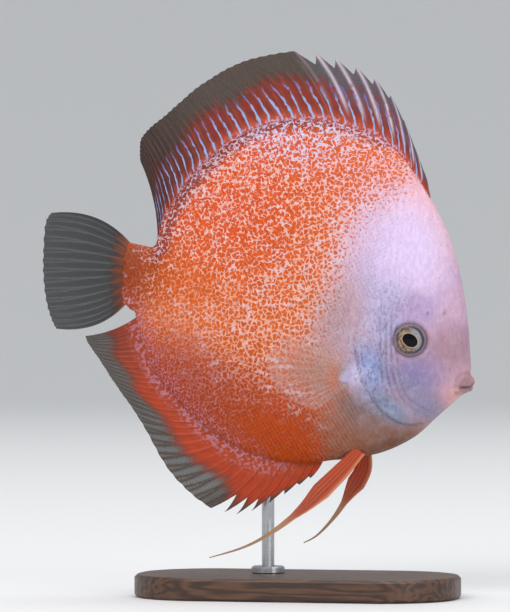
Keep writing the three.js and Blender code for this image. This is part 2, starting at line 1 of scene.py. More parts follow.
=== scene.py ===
# %% [markdown]
# # A discus fish on a display stand
# This lesson dresses a plain solid model of a discus fish: one skin over its flesh, thousands of
# small scales, fins with their rays, glossy eyes, and a wooden stand. The new pieces have to fit
# the solids, so the lesson starts by loading them.

import bpy
import numpy as np
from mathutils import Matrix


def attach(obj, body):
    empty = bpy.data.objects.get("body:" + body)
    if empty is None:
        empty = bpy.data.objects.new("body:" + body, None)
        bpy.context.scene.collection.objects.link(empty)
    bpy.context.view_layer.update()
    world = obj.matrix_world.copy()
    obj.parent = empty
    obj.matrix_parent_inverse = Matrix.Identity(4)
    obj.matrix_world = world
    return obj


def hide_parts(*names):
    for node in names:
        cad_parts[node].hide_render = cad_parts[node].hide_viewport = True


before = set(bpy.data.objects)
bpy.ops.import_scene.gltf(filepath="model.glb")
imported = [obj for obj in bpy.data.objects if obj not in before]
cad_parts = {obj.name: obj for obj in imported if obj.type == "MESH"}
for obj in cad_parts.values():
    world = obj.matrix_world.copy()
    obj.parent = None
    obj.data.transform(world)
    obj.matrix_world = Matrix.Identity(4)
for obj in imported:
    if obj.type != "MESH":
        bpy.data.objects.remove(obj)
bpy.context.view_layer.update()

# %% [markdown]
# ## The fish's own frame
# A fish is easiest to describe along its own axis: x runs from the root of the tail fin to the
# mouth, z towards the back and y towards its left side, in millimetres. The model holds that frame
# nose down over the stand. A whole fish could be modelled upright and its object then turned, but a
# pattern on an object's coordinates would turn with it. So everything below is worked out in the
# fish's frame and its points are brought into the room by one turn and one shift, while the
# finished objects themselves stay at the origin.

# %% From the fish's frame to the room
PITCH = np.radians(17.0)
TAIL_ROOT = np.array([-62.2, 0.0, 115.0])
MM = 0.001


def to_room(points):
    """Turn nose down by the pitch, lift to the tail root, and go from millimetres to metres"""
    x, y, z = np.moveaxis(np.asarray(points, float), -1, 0)
    turned = np.stack([x * np.cos(PITCH) + z * np.sin(PITCH), y,
                       z * np.cos(PITCH) - x * np.sin(PITCH)], axis=-1)
    return (turned + TAIL_ROOT) * MM


def spline(points, place):
    """A curve through all points: between two of them, the cubic whose slope at each is half the
    step between its neighbours. place counts the points, so 1.5 is half way from 1 to 2."""
    points = np.asarray(points, float)
    place = np.clip(np.asarray(place, float), 0, len(points) - 1)
    i = np.minimum(place.astype(int), len(points) - 2)
    f = (place - i)[..., None]
    a, b, c, d = (points[np.clip(i + k, 0, len(points) - 1)] for k in (-1, 0, 1, 2))
    start, end = (c - a) / 2, (d - b) / 2
    return (2 * (b - c) + start + end) * f**3 + (3 * (c - b) - 2 * start - end) * f**2 + start * f + b


def fade(value, low, high):
    """0 below low, 1 above high, with a smooth S between"""
    t = np.clip((np.asarray(value, float) - low) / (high - low), 0, 1)
    return t * t * (3 - 2 * t)


print("the tail root is at", to_room([0.0, 0.0, 0.0]).round(4))

# %% [markdown]
# ## Camera and light
# The picture is taken level with the fish, twelve degrees round towards its face. The lens follows
# from three sizes: how many millimetres a pixel covers at the fish, how wide the picture is, and
# how far the camera stands. Small lamps would put hard spots on the wet skin, so three large soft
# ones and a pale room light it from the front, the face and the top.

# %% Camera
YAW = np.radians(12.0)
MM_PER_PIXEL = 0.355
PICTURE = (510, 612)
TAIL_ROOT_PIXEL = (126, 273)
CAMERA_DISTANCE = 1500.0
SENSOR = 36.0

right = np.array([np.cos(YAW), np.sin(YAW), 0.0])
towards_camera = np.array([np.sin(YAW), -np.cos(YAW), 0.0])
aim = (right * (TAIL_ROOT @ right + (PICTURE[0] / 2 - TAIL_ROOT_PIXEL[0]) * MM_PER_PIXEL)
       + np.array([0, 0, TAIL_ROOT[2] + (TAIL_ROOT_PIXEL[1] - PICTURE[1] / 2) * MM_PER_PIXEL]))

camera_data = bpy.data.cameras.new("camera")
camera_data.sensor_fit = "HORIZONTAL"
camera_data.sensor_width = SENSOR
camera_data.lens = SENSOR * CAMERA_DISTANCE / (PICTURE[0] * MM_PER_PIXEL)
camera = bpy.data.objects.new("camera", camera_data)
camera.location = (aim + towards_camera * CAMERA_DISTANCE) * MM
camera.rotation_euler = (np.pi / 2, 0, YAW)
bpy.context.collection.objects.link(camera)
bpy.context.scene.camera = camera
print("lens", round(camera_data.lens, 1), "aim", aim.round(1))


# %% Lights
FISH_MIDDLE = np.array([0.0, 0.0, 0.11])


def soft_light(name, place, size, power, colour):
    """A square area light that faces the middle of the fish"""
    data = bpy.data.lights.new(name, "AREA")
    data.size, data.energy, data.color = size, power, colour
    lamp = bpy.data.objects.new(name, data)
    lamp.location = place
    from_lamp = FISH_MIDDLE - np.array(place)
    lamp.rotation_euler = (np.arctan2(np.hypot(*from_lamp[:2]), -from_lamp[2]), 0,
                           np.arctan2(from_lamp[1], from_lamp[0]) - np.pi / 2)
    bpy.context.collection.objects.link(lamp)
    print(name, "at", place)


soft_light("key_light", (-0.8, -2.3, 1.9), 1.8, 40.0, (1.0, 0.98, 0.96))
soft_light("face_light", (2.3, -1.8, 0.9), 1.6, 20.0, (0.93, 0.95, 1.0))
soft_light("top_light", (0.2, 0.3, 2.9), 2.2, 46.0, (1.0, 1.0, 1.0))

world = bpy.data.worlds.new("soft_room")
world.use_nodes = True
world.node_tree.nodes["Background"].inputs["Color"].default_value = (0.86, 0.88, 0.9, 1)
world.node_tree.nodes["Background"].inputs["Strength"].default_value = 0.52
bpy.context.scene.world = world
bpy.context.scene.view_settings.view_transform = "Standard"

# %% [markdown]
# ## Small tools for meshes
# Every new piece is a grid of points worked out as whole arrays, which is quick and leaves each
# shape as one readable formula. One function turns such grids into a mesh object, smooth shaded, at
# the origin. Values that change over a surface, such as a colour, are stored on its points for the
# finish to read.


# %% Mesh helpers
def grid_faces(rows, columns, wrap=False):
    """Quads of a grid of points that is stored row by row; wrap joins the last column to the first"""
    i, j = np.meshgrid(np.arange(rows - 1), np.arange(columns if wrap else columns - 1), indexing="ij")
    k = (j + 1) % columns
    quads = np.stack([i * columns + j, i * columns + k, (i + 1) * columns + k, (i + 1) * columns + j], -1)
    return quads.reshape(-1, 4)


def end_fans(rows, columns):
    """Triangles that close a wrapped grid, its first row to the point after it and its last row to
    the point after that"""
    j = np.arange(columns)
    k = (j + 1) % columns
    last_row = (rows - 1) * columns
    first = np.stack([k, j, np.full(columns, rows * columns)], -1)
    last = np.stack([j, k, np.full(columns, rows * columns + 1)], -1) + [last_row, last_row, 0]
    return np.concatenate([first, last])


def signed_volume(points, faces):
    """Six times the volume inside the faces, counted over each face's fan of triangles"""
    total = 0.0
    for k in range(1, faces.shape[1] - 1):
        a, b, c = points[faces[:, 0]], points[faces[:, k]], points[faces[:, k + 1]]
        total += np.einsum("ij,ij->i", a, np.cross(b, c)).sum()
    return total


def make_piece(name, points, faces, values=None, uv=None, uv_name="UVMap"):
    """A mesh object from points in metres, groups of faces of one size, values on the points and
    a UV place for each point. Faces are turned as one if the volume inside comes out negative."""
    centre = points.mean(axis=0)
    if sum(signed_volume(points - centre, group) for group in faces) < 0:
        faces = [group[:, ::-1] for group in faces]
    sizes = np.concatenate([np.full(len(group), group.shape[1]) for group in faces])
    corners = np.concatenate([group.ravel() for group in faces])
    mesh = bpy.data.meshes.new(name)
    mesh.vertices.add(len(points))
    mesh.vertices.foreach_set("co", points.astype(np.float32).ravel())
    mesh.loops.add(len(corners))
    mesh.loops.foreach_set("vertex_index", corners.astype(np.int32))
    mesh.polygons.add(len(sizes))
    mesh.polygons.foreach_set("loop_start", np.concatenate([[0], np.cumsum(sizes)[:-1]]).astype(np.int32))
    mesh.polygons.foreach_set("use_smooth", np.ones(len(sizes), bool))
    mesh.update(calc_edges=True)
    mesh.validate()
    for key, value in (values or {}).items():
        value = np.asarray(value, np.float32)
        if value.ndim == 2:
            colour = np.concatenate([value, np.ones((len(value), 1), np.float32)], axis=1)
            mesh.attributes.new(key, "FLOAT_COLOR", "POINT").data.foreach_set("color", colour.ravel())
        else:
            mesh.attributes.new(key, "FLOAT", "POINT").data.foreach_set("value", value)
    if uv is not None:
        layer = mesh.uv_layers.new(name=uv_name)
        layer.data.foreach_set("uv", np.asarray(uv, np.float32)[corners].ravel())
    piece = bpy.data.objects.new(name, mesh)
    bpy.context.collection.objects.link(piece)
    print(name, "has", int((sizes - 2).sum()), "triangles")
    return piece


# %% [markdown]
# ## Small tools for finishes
# Shader maths reads best as plain sums, so a small class wraps a node's output and turns +, -, *
# and / into Math nodes. Colours go through Mix nodes, because a Math node would make them grey.


# %% Shader sums
class Wire:
    """The output of a shader node, usable in sums"""

    def __init__(self, finish, socket):
        self.finish, self.socket = finish, socket

    def _sum(self, operation, first, second):
        return self.finish.node("ShaderNodeMath", {"operation": operation}, {0: first, 1: second})

    def __add__(self, other):
        return self._sum("ADD", self, other)

    def __radd__(self, other):
        return self._sum("ADD", other, self)

    def __sub__(self, other):
        return self._sum("SUBTRACT", self, other)

    def __rsub__(self, other):
        return self._sum("SUBTRACT", other, self)

    def __mul__(self, other):
        return self._sum("MULTIPLY", self, other)

    def __rmul__(self, other):
        return self._sum("MULTIPLY", other, self)

    def __truediv__(self, other):
        return self._sum("DIVIDE", self, other)

    def step(self, low, high):
        """0 below low, 1 above high, smooth between; low and high may be wires too"""
        return self.finish.node("ShaderNodeMapRange", {"interpolation_type": "SMOOTHSTEP"},
                                {"Value": self, "From Min": low, "From Max": high})


class Finish:
    """A material being built: nodes are added by one method, and the last step sets its surface"""

    def __init__(self, name):
        self.material = bpy.data.materials.new(name)
        self.material.use_nodes = True
        self.tree = self.material.node_tree
        self.shader = self.tree.nodes["Principled BSDF"]

    def feed(self, socket, value):
        if isinstance(value, Wire):
            self.tree.links.new(value.socket, socket)
        else:
            socket.default_value = value

    def node(self, kind, settings, inputs, output=0):
        """Add a node of a kind, set its settings, then its inputs by name or number"""
        made = self.tree.nodes.new(kind)
        for key, value in settings.items():
            setattr(made, key, value)
        for key, value in inputs.items():
            self.feed(made.inputs[key], value)
        return Wire(self, made.outputs[output])

    def mix(self, amount, first, second, blend="MIX"):
        """Mix two colours by an amount"""
        made = self.tree.nodes.new("ShaderNodeMix")
        made.data_type, made.blend_type = "RGBA", blend
        self.feed(made.inputs[0], amount)
        self.feed(made.inputs[6], first)
        self.feed(made.inputs[7], second)
        return Wire(self, made.outputs[2])

    def place(self, turn=(0, 0, 0), scale=(1, 1, 1)):
        """Object coordinates, turned and scaled"""
        spot = self.node("ShaderNodeTexCoord", {}, {}, "Object")
        return self.node("ShaderNodeMapping", {}, {"Vector": spot, "Rotation": turn, "Scale": scale})

    def value(self, name):
        return self.node("ShaderNodeAttribute", {"attribute_name": name}, {}, "Fac")

    def colour(self, name):
        return self.node("ShaderNodeAttribute", {"attribute_name": name}, {}, "Color")

    def noise(self, place, scale, detail=2.0, roughness=0.5):
        return self.node("ShaderNodeTexNoise", {}, {
            "Vector": place, "Scale": scale, "Detail": detail, "Roughness": roughness}, "Fac")

    def cells(self, place, scale, randomness=1.0, feature="F1", dimensions="2D"):
        """Distance to the middle of the nearest cell of a Voronoi texture, or to its border"""
        return self.node("ShaderNodeTexVoronoi", {"voronoi_dimensions": dimensions, "feature": feature}, {
            "Vector": place, "Scale": scale, "Randomness": randomness}, "Distance")

    def maths(self, operation, value):
        """One Math node on a single value, such as SINE or ABSOLUTE"""
        return self.node("ShaderNodeMath", {"operation": operation}, {0: value})

    def split(self, vector):
        """The first two numbers of a vector"""
        parts = self.tree.nodes.new("ShaderNodeSeparateXYZ")
        self.feed(parts.inputs[0], vector)
        return Wire(self, parts.outputs[0]), Wire(self, parts.outputs[1])

    def bump(self, height, strength, distance):
        return self.node("ShaderNodeBump", {}, {
            "Height": height, "Strength": strength, "Distance": distance}, "Normal")

    def surface(self, **inputs):
        """Set the shader's sockets; underscores in the names stand for spaces"""
        for key, value in inputs.items():
            self.feed(self.shader.inputs[key.replace("_", " ")], value)
        return self.material


def srgb(red, green, blue):
    """A colour given as on a colour chart, 0 to 255, as the linear light that shaders use"""
    chart = np.array([red, green, blue]) / 255
    return np.where(chart <= 0.04045, chart / 12.92, ((chart + 0.055) / 1.055) ** 2.4)


def opaque(red, green, blue):
    """The same colour with the fourth number that a shader's colour socket takes"""
    return (*srgb(red, green, blue), 1.0)


# %% [markdown]
# ## The floor
# A photographer's paper sweep hides the line where floor meets wall. A plain plane would show its
# edge, so the sweep runs all round here, as a wide shallow bowl: flat under the stand, then a
# quarter circle, turned about the upright axis.


# %% Floor
FLOOR_FLAT, FLOOR_CURVE = 3.0, 2.5
FLAT_RINGS, CURVE_RINGS, FLOOR_COLUMNS = 12, 40, 96
FIRST_RING = 0.02


def make_floor():
    """Rings of one radius each: a flat disc first, then r = flat + curve sin a, z = curve (1 - cos a)"""
    turn = np.linspace(0, np.pi / 2, CURVE_RINGS)
    flat = np.linspace(FIRST_RING, FLOOR_FLAT, FLAT_RINGS, endpoint=False)
    radius = np.concatenate([flat, FLOOR_FLAT + FLOOR_CURVE * np.sin(turn)])[:, None]
    height = np.concatenate([0 * flat, FLOOR_CURVE * (1 - np.cos(turn))])[:, None]
    round_ = np.linspace(0, 2 * np.pi, FLOOR_COLUMNS, endpoint=False)
    rings = np.stack([radius * np.cos(round_), radius * np.sin(round_), height + 0 * round_], -1)
    points = np.concatenate([rings.reshape(-1, 3), [[0, 0, 0]]])
    j = np.arange(FLOOR_COLUMNS)
    fan = np.stack([np.full(FLOOR_COLUMNS, len(points) - 1), j, (j + 1) % FLOOR_COLUMNS], -1)
    quads = grid_faces(len(radius), FLOOR_COLUMNS, wrap=True)[:, ::-1]
    mesh = bpy.data.meshes.new("floor")
    mesh.from_pydata(points.tolist(), [], [*fan.tolist(), *quads.tolist()])
    mesh.polygons.foreach_set("use_smooth", np.ones(len(mesh.polygons), bool))
    floor = bpy.data.objects.new("floor", mesh)
    bpy.context.collection.objects.link(floor)
    paint = Finish("floor_paint")
    floor.data.materials.append(paint.surface(Base_Color=(0.78, 0.79, 0.8, 1), Roughness=0.9))
    print("floor reaches", FLOOR_FLAT + FLOOR_CURVE, "m")


make_floor()

# %% [markdown]
# ## The body as a formula
# A discus is a tall, thin disc with a blunt face. Its flank could be sculpted, but a family of curved
# cross lines gives any place on it exactly, which folds, scales and eyes need later. Each station
# along the fish has a point on the back, on the axis and on the belly, and a half width. A cross
# line is the parabola through its three points, and the width falls away from the axis as
# (1 - |v|^p)^k, v being -1 at the belly and 1 at the back. These are the numbers of the solids, so
# the skin lies where they are.

# %% Stations of the body
BACK = [[-2.4, 10.4], [2.2, 10.8], [7.2, 12.6], [7.9, 25.5], [13.0, 40.0], [22.5, 55.8], [38.5, 68.2],
        [58.0, 73.0], [77.5, 71.2], [92.0, 62.2], [105.3, 48.9], [115.2, 35.0], [122.6, 20.2],
        [127.3, 8.0], [129.6, 1.6]]
AXIS = [[-0.4, 0], [3.8, 0], [8.5, 0.4], [13.5, 1.2], [21, 2.5], [33, 4.5], [48, 7], [64, 9],
        [79, 9.5], [93, 8.5], [105, 6.5], [114.8, 3.6], [122.2, 1], [127.2, -0.8], [129.8, -1.4]]
BELLY = [[2.4, -10.4], [5.0, -11.4], [7.6, -12.8], [12.0, -20.0], [20.0, -30.0], [32.0, -38.4],
         [47.0, -44.8], [64.0, -47.9], [80.7, -45.9], [94.6, -39.6], [107.0, -33.2], [116.5, -24.6],
         [122.4, -15.2], [127.0, -7.8], [129.6, -4.2]]
HALF_WIDTH = [[2.9], [3.6], [4.6], [6.2], [8.3], [10.6], [12.4], [13.4], [13.7], [13.2], [11.9],
              [9.9], [7.7], [5.6], [3.8]]
LAST = len(BACK) - 1
DORSAL_SPAN = (9.4, 2.12)
ANAL_SPAN = (8.5, 2.12)
EDGE_HALF = 1.5
KEEL_HALF = 1.1
KEEL_RISE = 0.5
print(len(BACK), "stations over", round(BACK[-1][0] - BACK[0][0], 1), "mm")


# %% The flank
def under_fin(q, span):
    """1 where a fin stands on the edge of the body and 0 away from it"""
    return fade(q, span[1] - 0.5, span[1] - 0.2) * (1 - fade(q, span[0] + 0.1, span[0] + 0.5))


def flank(q, v):
    """A point of the left flank at station q and height v, in the fish's frame"""
    back, axis, belly = spline(BACK, q), spline(AXIS, q), spline(BELLY, q)
    half = spline(HALF_WIDTH, q)[..., 0]
    side = axis + (back - belly) / 2 * v[..., None] + ((back + belly) / 2 - axis) * (v**2)[..., None]
    headness = fade(q, 9, 12)
    finned = np.where(v > 0, under_fin(q, DORSAL_SPAN), under_fin(q, ANAL_SPAN))
    edge = KEEL_HALF + (EDGE_HALF - KEEL_HALF) * finned
    inside = np.clip(1 - np.abs(v) ** (2 + 0.5 * headness), 0, 1)
    width = edge + (half - edge) * inside ** (0.62 - 0.12 * headness)
    return np.stack([side[..., 0], width, side[..., 1]], axis=-1)


# %% Places on the flank
TINY = 1e-3
NEAR_EDGE = 0.999


def locate(x, z):
    """Station and height of the flank over side-view places: the nearest point of a coarse grid,
    then steps that solve the two equations with slopes measured on the flank"""
    q_grid, v_grid = np.meshgrid(np.linspace(0, LAST, 90), np.linspace(-1, 1, 61), indexing="ij")
    spots = flank(q_grid, v_grid)[..., [0, 2]].reshape(-1, 2)
    wanted = np.stack([np.ravel(x), np.ravel(z)], axis=-1).astype(float)
    nearest = np.concatenate([((spots - part[:, None]) ** 2).sum(-1).argmin(1)
                              for part in np.array_split(wanted, max(1, len(wanted) // 500))])
    q, v = q_grid.ravel()[nearest], v_grid.ravel()[nearest]
    for _ in range(6):
        here = flank(q, v)[:, [0, 2]]
        q_x, q_z = (flank(q + TINY, v)[:, [0, 2]] - here).T / TINY
        v_x, v_z = (flank(q, v + TINY)[:, [0, 2]] - here).T / TINY
        miss_x, miss_z = (wanted - here).T
        det = q_x * v_z - q_z * v_x
        det = np.where(np.abs(det) < 1e-6, 1e-6, det)
        step_q = np.clip((miss_x * v_z - miss_z * v_x) / det, -0.3, 0.3)
        step_v = np.clip((q_x * miss_z - q_z * miss_x) / det, -0.1, 0.1)
        q = np.clip(q + step_q, 0, LAST)
        v = np.clip(v + step_v, -NEAR_EDGE, NEAR_EDGE)
    return q, v


def skin_frame(q, v, side):
    """Point, outward normal and headward direction of the flank on side -1 or 1"""
    point = flank(q, v)
    along = flank(np.clip(q + TINY, 0, LAST), v) - flank(np.clip(q - TINY, 0, LAST), v)
    up = flank(q, np.clip(v + TINY, -1, 1)) - flank(q, np.clip(v - TINY, -1, 1))
    normal = np.cross(up, along)
    normal /= np.linalg.norm(normal, axis=-1, keepdims=True)
    along /= np.linalg.norm(along, axis=-1, keepdims=True)
    turn = np.array([1, side, 1])
    return point * turn, normal * turn, along * turn


axis_points = flank(np.arange(LAST + 1.0), np.zeros(LAST + 1))
print("widest", axis_points[:, 1].max().round(1), "mm a side")

# %% [markdown]
# ## Relief of the head
# The head has the finest forms: a ring of skin round each eye, the stepped edge of the gill cover,
# the folds in front of it, two nostrils a side, the pad that carries the breast fin and the lips
# with the fold behind them. They could be separate pieces, but on the fish one skin runs over them
# all. So each is a height over the smooth flank that depends only on how far a point lies from a
# named place or line, and one sum of such heights, laid along the skin's normal, carves them.

# %% Places on the head
EYE_AT = np.array([107.1, 8.0])
EYE_RADIUS, EYE_DEPTH, EYE_SUNK = 6.1, 3.4, 1.3
NOSTRILS = [([115.8, 20.4], 0.6), ([110.2, 18.6], 0.4)]
GILL_EDGE = [[93, 19], [88.6, 13], [88, 5], [91.5, -4.2], [97.2, -12.7], [105.8, -19.4],
             [113.5, -21], [118.4, -18.9]]
CHEEK_RIDGE = [[97.2, 15], [100.8, 3], [104.5, -7], [110.5, -14.2], [117.5, -16.6]]
CHEEK_FOLDS = [(1.9, 0.5), (0.0, 0.6), (-2.0, 0.45), (-3.9, 0.3)]
FOLD_GROOVE, GROOVE_WIDTH = 1.1, 0.45
FIN_PAD_AT, FIN_PAD_RADII = (93.6, -9.8), (3.0, 4.6)
MOUTH_HALF, MOUTH_FRONT_Z, MOUTH_CORNER_Z = 4.2, -0.6, -2.7
LIPS_AT, LIPS_RADII = (130.5, -2.2), (4.4, 5.0)
print("eye at", EYE_AT, "and", len(CHEEK_FOLDS), "folds on the cheek")


# %% Distances and folds
def line_distance(x, z, points, samples=160):
    """Distance from places to a smooth line, signed: positive to the left of the line's run"""
    line = spline(points, np.linspace(0, len(points) - 1, samples))
    flat = np.stack([np.ravel(x), np.ravel(z)], -1)
    best = np.full(len(flat), 1e9)
    signed = np.zeros(len(flat))
    for start, end in zip(line[:-1], line[1:]):
        run = end - start
        share = np.clip(((flat - start) @ run) / (run @ run), 0, 1)
        away = flat - (start + share[:, None] * run)
        size = np.hypot(*away.T)
        sign = np.sign(run[0] * away[:, 1] - run[1] * away[:, 0])
        closer = size < best
        best = np.where(closer, size, best)
        signed = np.where(closer, size * sign, signed)
    return signed.reshape(np.shape(x))


def ridge(distance, place, width):
    """A rounded ridge: exp(-((d - place) / width)^2)"""
    return np.exp(-(((distance - place) / width) ** 2))


def fold_reach(z):
    """The folds of the cheek fade out above the eye and under the jaw, and swell and sink between"""
    return fade(z, 17, 9) * fade(z, -17, -9) * (0.75 + 0.25 * np.sin(z * 0.8))


def oval_distance(x, z, centre, radii):
    """Distance from a centre as a share of an upright oval's radii: 1 on the oval itself"""
    return np.hypot((x - centre[0]) / radii[0], (z - centre[1]) / radii[1])


def lip_fold(x, z):
    """Distance in millimetres from the curved fold that sets the lips off from the snout"""
    return (oval_distance(x, z, LIPS_AT, LIPS_RADII) - 1) * LIPS_RADII[0]


# %% Head relief
def head_relief(points):
    """Heights in millimetres over the smooth flank, from the distances to the head's features"""
    x, y, z = points.T
    height = np.zeros(len(points))
    near = x > 80
    px, py, pz = x[near], y[near], z[near]
    eye = np.hypot(px - EYE_AT[0], pz - EYE_AT[1])
    flat_side = fade(np.abs(py), 3.0, 6.0)
    relief = flat_side * (0.55 * ridge(eye, 7.3, 0.9) - 1.6 * (1 - fade(eye, 4.9, 6.5)))
    for spot, radius in NOSTRILS:
        away = np.hypot(px - spot[0], pz - spot[1])
        relief += flat_side * (0.22 * ridge(away, radius * 1.9, 0.35) - 1.0 * ridge(away, 0, radius))
    gill = line_distance(px, pz, GILL_EDGE)
    relief += flat_side * 0.75 * fade(gill, -0.05, 0.45) * (1 - fade(gill, 3.0, 11.0))
    cheek = line_distance(px, pz, CHEEK_RIDGE) + 0.3 * np.sin(pz * 0.9) + 0.2 * np.sin(pz * 2.3 + px)
    fading = flat_side * fold_reach(pz)
    for place, size in CHEEK_FOLDS:
        groove = ridge(cheek, place + FOLD_GROOVE, GROOVE_WIDTH)
        relief += fading * size * (ridge(cheek, place, 0.55) - 0.8 * groove)
    relief += flat_side * 0.8 * ridge(oval_distance(px, pz, FIN_PAD_AT, FIN_PAD_RADII), 0, 1)
    share = np.clip(np.abs(py) / MOUTH_HALF, 0, 1.4)
    off = pz - MOUTH_FRONT_Z - (MOUTH_CORNER_Z - MOUTH_FRONT_Z) * share
    relief += fade(px, 125.2, 127.4) * 0.85 * ridge(np.abs(off), 1.2, 0.8)
    relief -= fade(px, 127.0, 128.8) * 0.9 * ridge(off, 0, 0.28)
    relief -= 0.32 * ridge(lip_fold(px, pz), 0, 0.6)
    height[near] = relief
    return height


# %% [markdown]
# ## Colours of the body
# The living fish is a pale net that encloses orange marks. The colours of both differ from place to
# place, and so does how much of the skin the marks take up, how fine they are, and whether they
# merge or run into worm-like lines. A painted picture could hold all that, but it would blur from
# near by. So each is laid the way an airbrush would, as soft washes over one another on the side
# view, and stored on the points. The fine pattern itself comes later, in the finish, where it stays
# sharp at any distance.

# %% Washes
# Each wash is a place's name, its centre, two radii, a lean in degrees and what is laid there
NET = srgb(240, 172, 148)
NET_WASHES = [
    ("upper rear", (34, 40), (44, 34), 0, srgb(240, 182, 168)),
    ("below the back fin", (46, 65), (60, 11), 0, srgb(222, 200, 222)),
    ("nape", (84, 58), (24, 16), 0, srgb(244, 176, 174)),
    ("shoulder", (84, 36), (12, 22), 0, srgb(224, 190, 214)),
    ("temple", (93, 22), (12, 16), 0, srgb(198, 182, 220)),
    ("behind the gill cover", (82, 6), (10, 17), 0, srgb(190, 158, 166)),
    ("below it", (76, -14), (12, 11), 0, srgb(186, 126, 102)),
    ("lateral line", (20, 2), (24, 9), 0, srgb(228, 150, 120)),
    ("tail root", (-1, 0), (10, 16), 0, srgb(132, 68, 42)),
    ("lower side", (50, -34), (60, 16), 0, srgb(198, 116, 94)),
    ("lower rear", (26, -30), (26, 16), 0, srgb(186, 106, 100)),
    ("lower front", (76, -38), (26, 12), 0, srgb(184, 78, 34)),
    ("belly", (98, -34), (18, 13), 0, srgb(156, 98, 72)),
    ("under the gill cover", (99, -21), (17, 8), -20, srgb(138, 108, 100)),
    ("head", (118, 20), (19, 26), 0, srgb(192, 164, 200)),
    ("crown", (98, 38), (14, 20), 20, srgb(226, 204, 240)),
    ("forehead", (122, 30), (7, 22), -24, srgb(208, 172, 196)),
    ("snout", (121, 9), (9, 10), 0, srgb(172, 136, 148)),
    ("cheek", (112, -4), (11, 9), 0, srgb(144, 130, 172)),
    ("jaw", (118, -13), (11, 7), -30, srgb(144, 136, 164)),
    ("top of the gill cover", (98, 12), (8, 13), 14, srgb(184, 174, 208)),
    ("above the eye", (106, 19), (7, 6), 0, srgb(182, 158, 196)),
    ("gill cover", (97, -6), (7.5, 12), 34, srgb(142, 154, 198)),
    ("tip of the gill cover", (108, -17.5), (10, 4.5), -24, srgb(134, 144, 170)),
    # The throat's wash is its own colour, darkened also as painted shade, for the underside lies in shade
    # under light from above
    ("throat", (113, -29), (15, 6.5), 30, srgb(128, 88, 68)),
    ("lips", (129.5, -2), (3, 4), 0, srgb(150, 116, 124)),
    ("armpit", (85.8, -13), (3.2, 5.2), 0, srgb(200, 112, 74)),
    ("root of the breast fin", (92.2, -9.8), (3.6, 4.4), 20, srgb(206, 194, 226)),
]
MARK = srgb(224, 100, 8)
MARK_WASHES = [
    ("upper rear", (26, 40), (40, 34), 0, srgb(226, 82, 0)),
    ("tail root", (2, 2), (14, 22), 0, srgb(160, 64, 16)),
    ("lower side", (40, -34), (56, 18), 0, srgb(170, 60, 10)),
    ("lower front", (80, -36), (26, 14), 0, srgb(190, 72, 12)),
    ("nape", (92, 46), (20, 24), 0, srgb(228, 112, 60)),
    ("behind the gill cover", (84, 10), (12, 26), 0, srgb(196, 116, 84)),
]
COVER = 0.5
COVER_WASHES = [
    ("upper rear", (28, 36), (34, 28), 0, 0.68),
    ("tail root", (8, 2), (20, 16), 0, 0.74),
    ("below the back fin", (56, 63), (46, 13), 0, 0.56),
    ("lower side", (40, -36), (60, 14), 0, 0.6),
    ("lower front", (76, -40), (22, 10), 0, 0.9),
    ("belly", (98, -28), (14, 10), 0, 0.0),
]
MERGE = 0.3
MERGE_WASHES = [
    ("upper rear", (24, 40), (34, 28), 0, 0.6),
    ("below the back fin", (56, 66), (44, 9), 0, 0.6),
]
WORM = 0.2
WORM_WASHES = [
    ("upper rear", (22, 44), (28, 26), 30, 0.9),
    ("below the back fin", (56, 66), (44, 9), 0, 1.0),
    ("nape", (88, 56), (14, 9), -40, 0.7),
]
FINE = 0.0
FINE_WASHES = [
    ("lower side", (44, -40), (54, 12), 0, 1.0),
    ("lower rear", (20, -24), (18, 16), 0, 1.0),
    ("behind the gill cover", (88, 10), (9, 40), 0, 0.8),
]
# Where the gill cover carries its dark specks and the painted sheen between them
FLECK_AND_SHEEN = 0.0
FLECK_AND_SHEEN_WASHES = [
    ("gill cover", (97, -5), (9, 17), 30, 0.9),
    ("above the gill cover", (97, 16), (8, 12), 0, 0.55),
    ("under the eye", (108, -6), (7, 7), 0, 0.4),
]


print(len(NET_WASHES), "washes on the net and", len(MARK_WASHES), "on the marks")


# %% Laying the washes
def blend(share, first, second):
    """Mix two colours by a share on each point; either may be one colour for all points"""
    return first * (1 - share[..., None]) + second * share[..., None]


def wash(x, z, ground, washes):
    """Lay each wash over the last by the share exp(-r^3), r being its own elliptic distance"""
    value = np.broadcast_to(np.asarray(ground, float), (len(x), np.size(ground)))
    for _, (cx, cz), (rx, rz), lean, laid in washes:
        c, s = np.cos(np.radians(lean)), np.sin(np.radians(lean))
        dx, dz = x - cx, z - cz
        r = np.hypot((dx * c + dz * s) / rx, (dz * c - dx * s) / rz)
        value = blend(np.exp(-(r**3)), value, laid)
    return value.squeeze()


def shade_creases(x, z, net):
    """Painted shade: darken the net in the cheek's folds, behind the gill cover and round the lips, where
    the creases lie in shade
    """
    cheek = line_distance(x, z, CHEEK_RIDGE)
    grooves = sum(ridge(cheek, place + FOLD_GROOVE, GROOVE_WIDTH) for place, _ in CHEEK_FOLDS)
    folds = grooves * fold_reach(z) * (x > 90) * 0.4
    edge = ridge(line_distance(x, z, GILL_EDGE), -0.35, 0.5) * fade(z, 5, -4) * (x > 84) * 0.22
    lips = ridge(lip_fold(x, z), 0, 0.6) * (x > 100) * 0.15
    return net * ((1 - folds) * (1 - edge) * (1 - lips))[:, None]


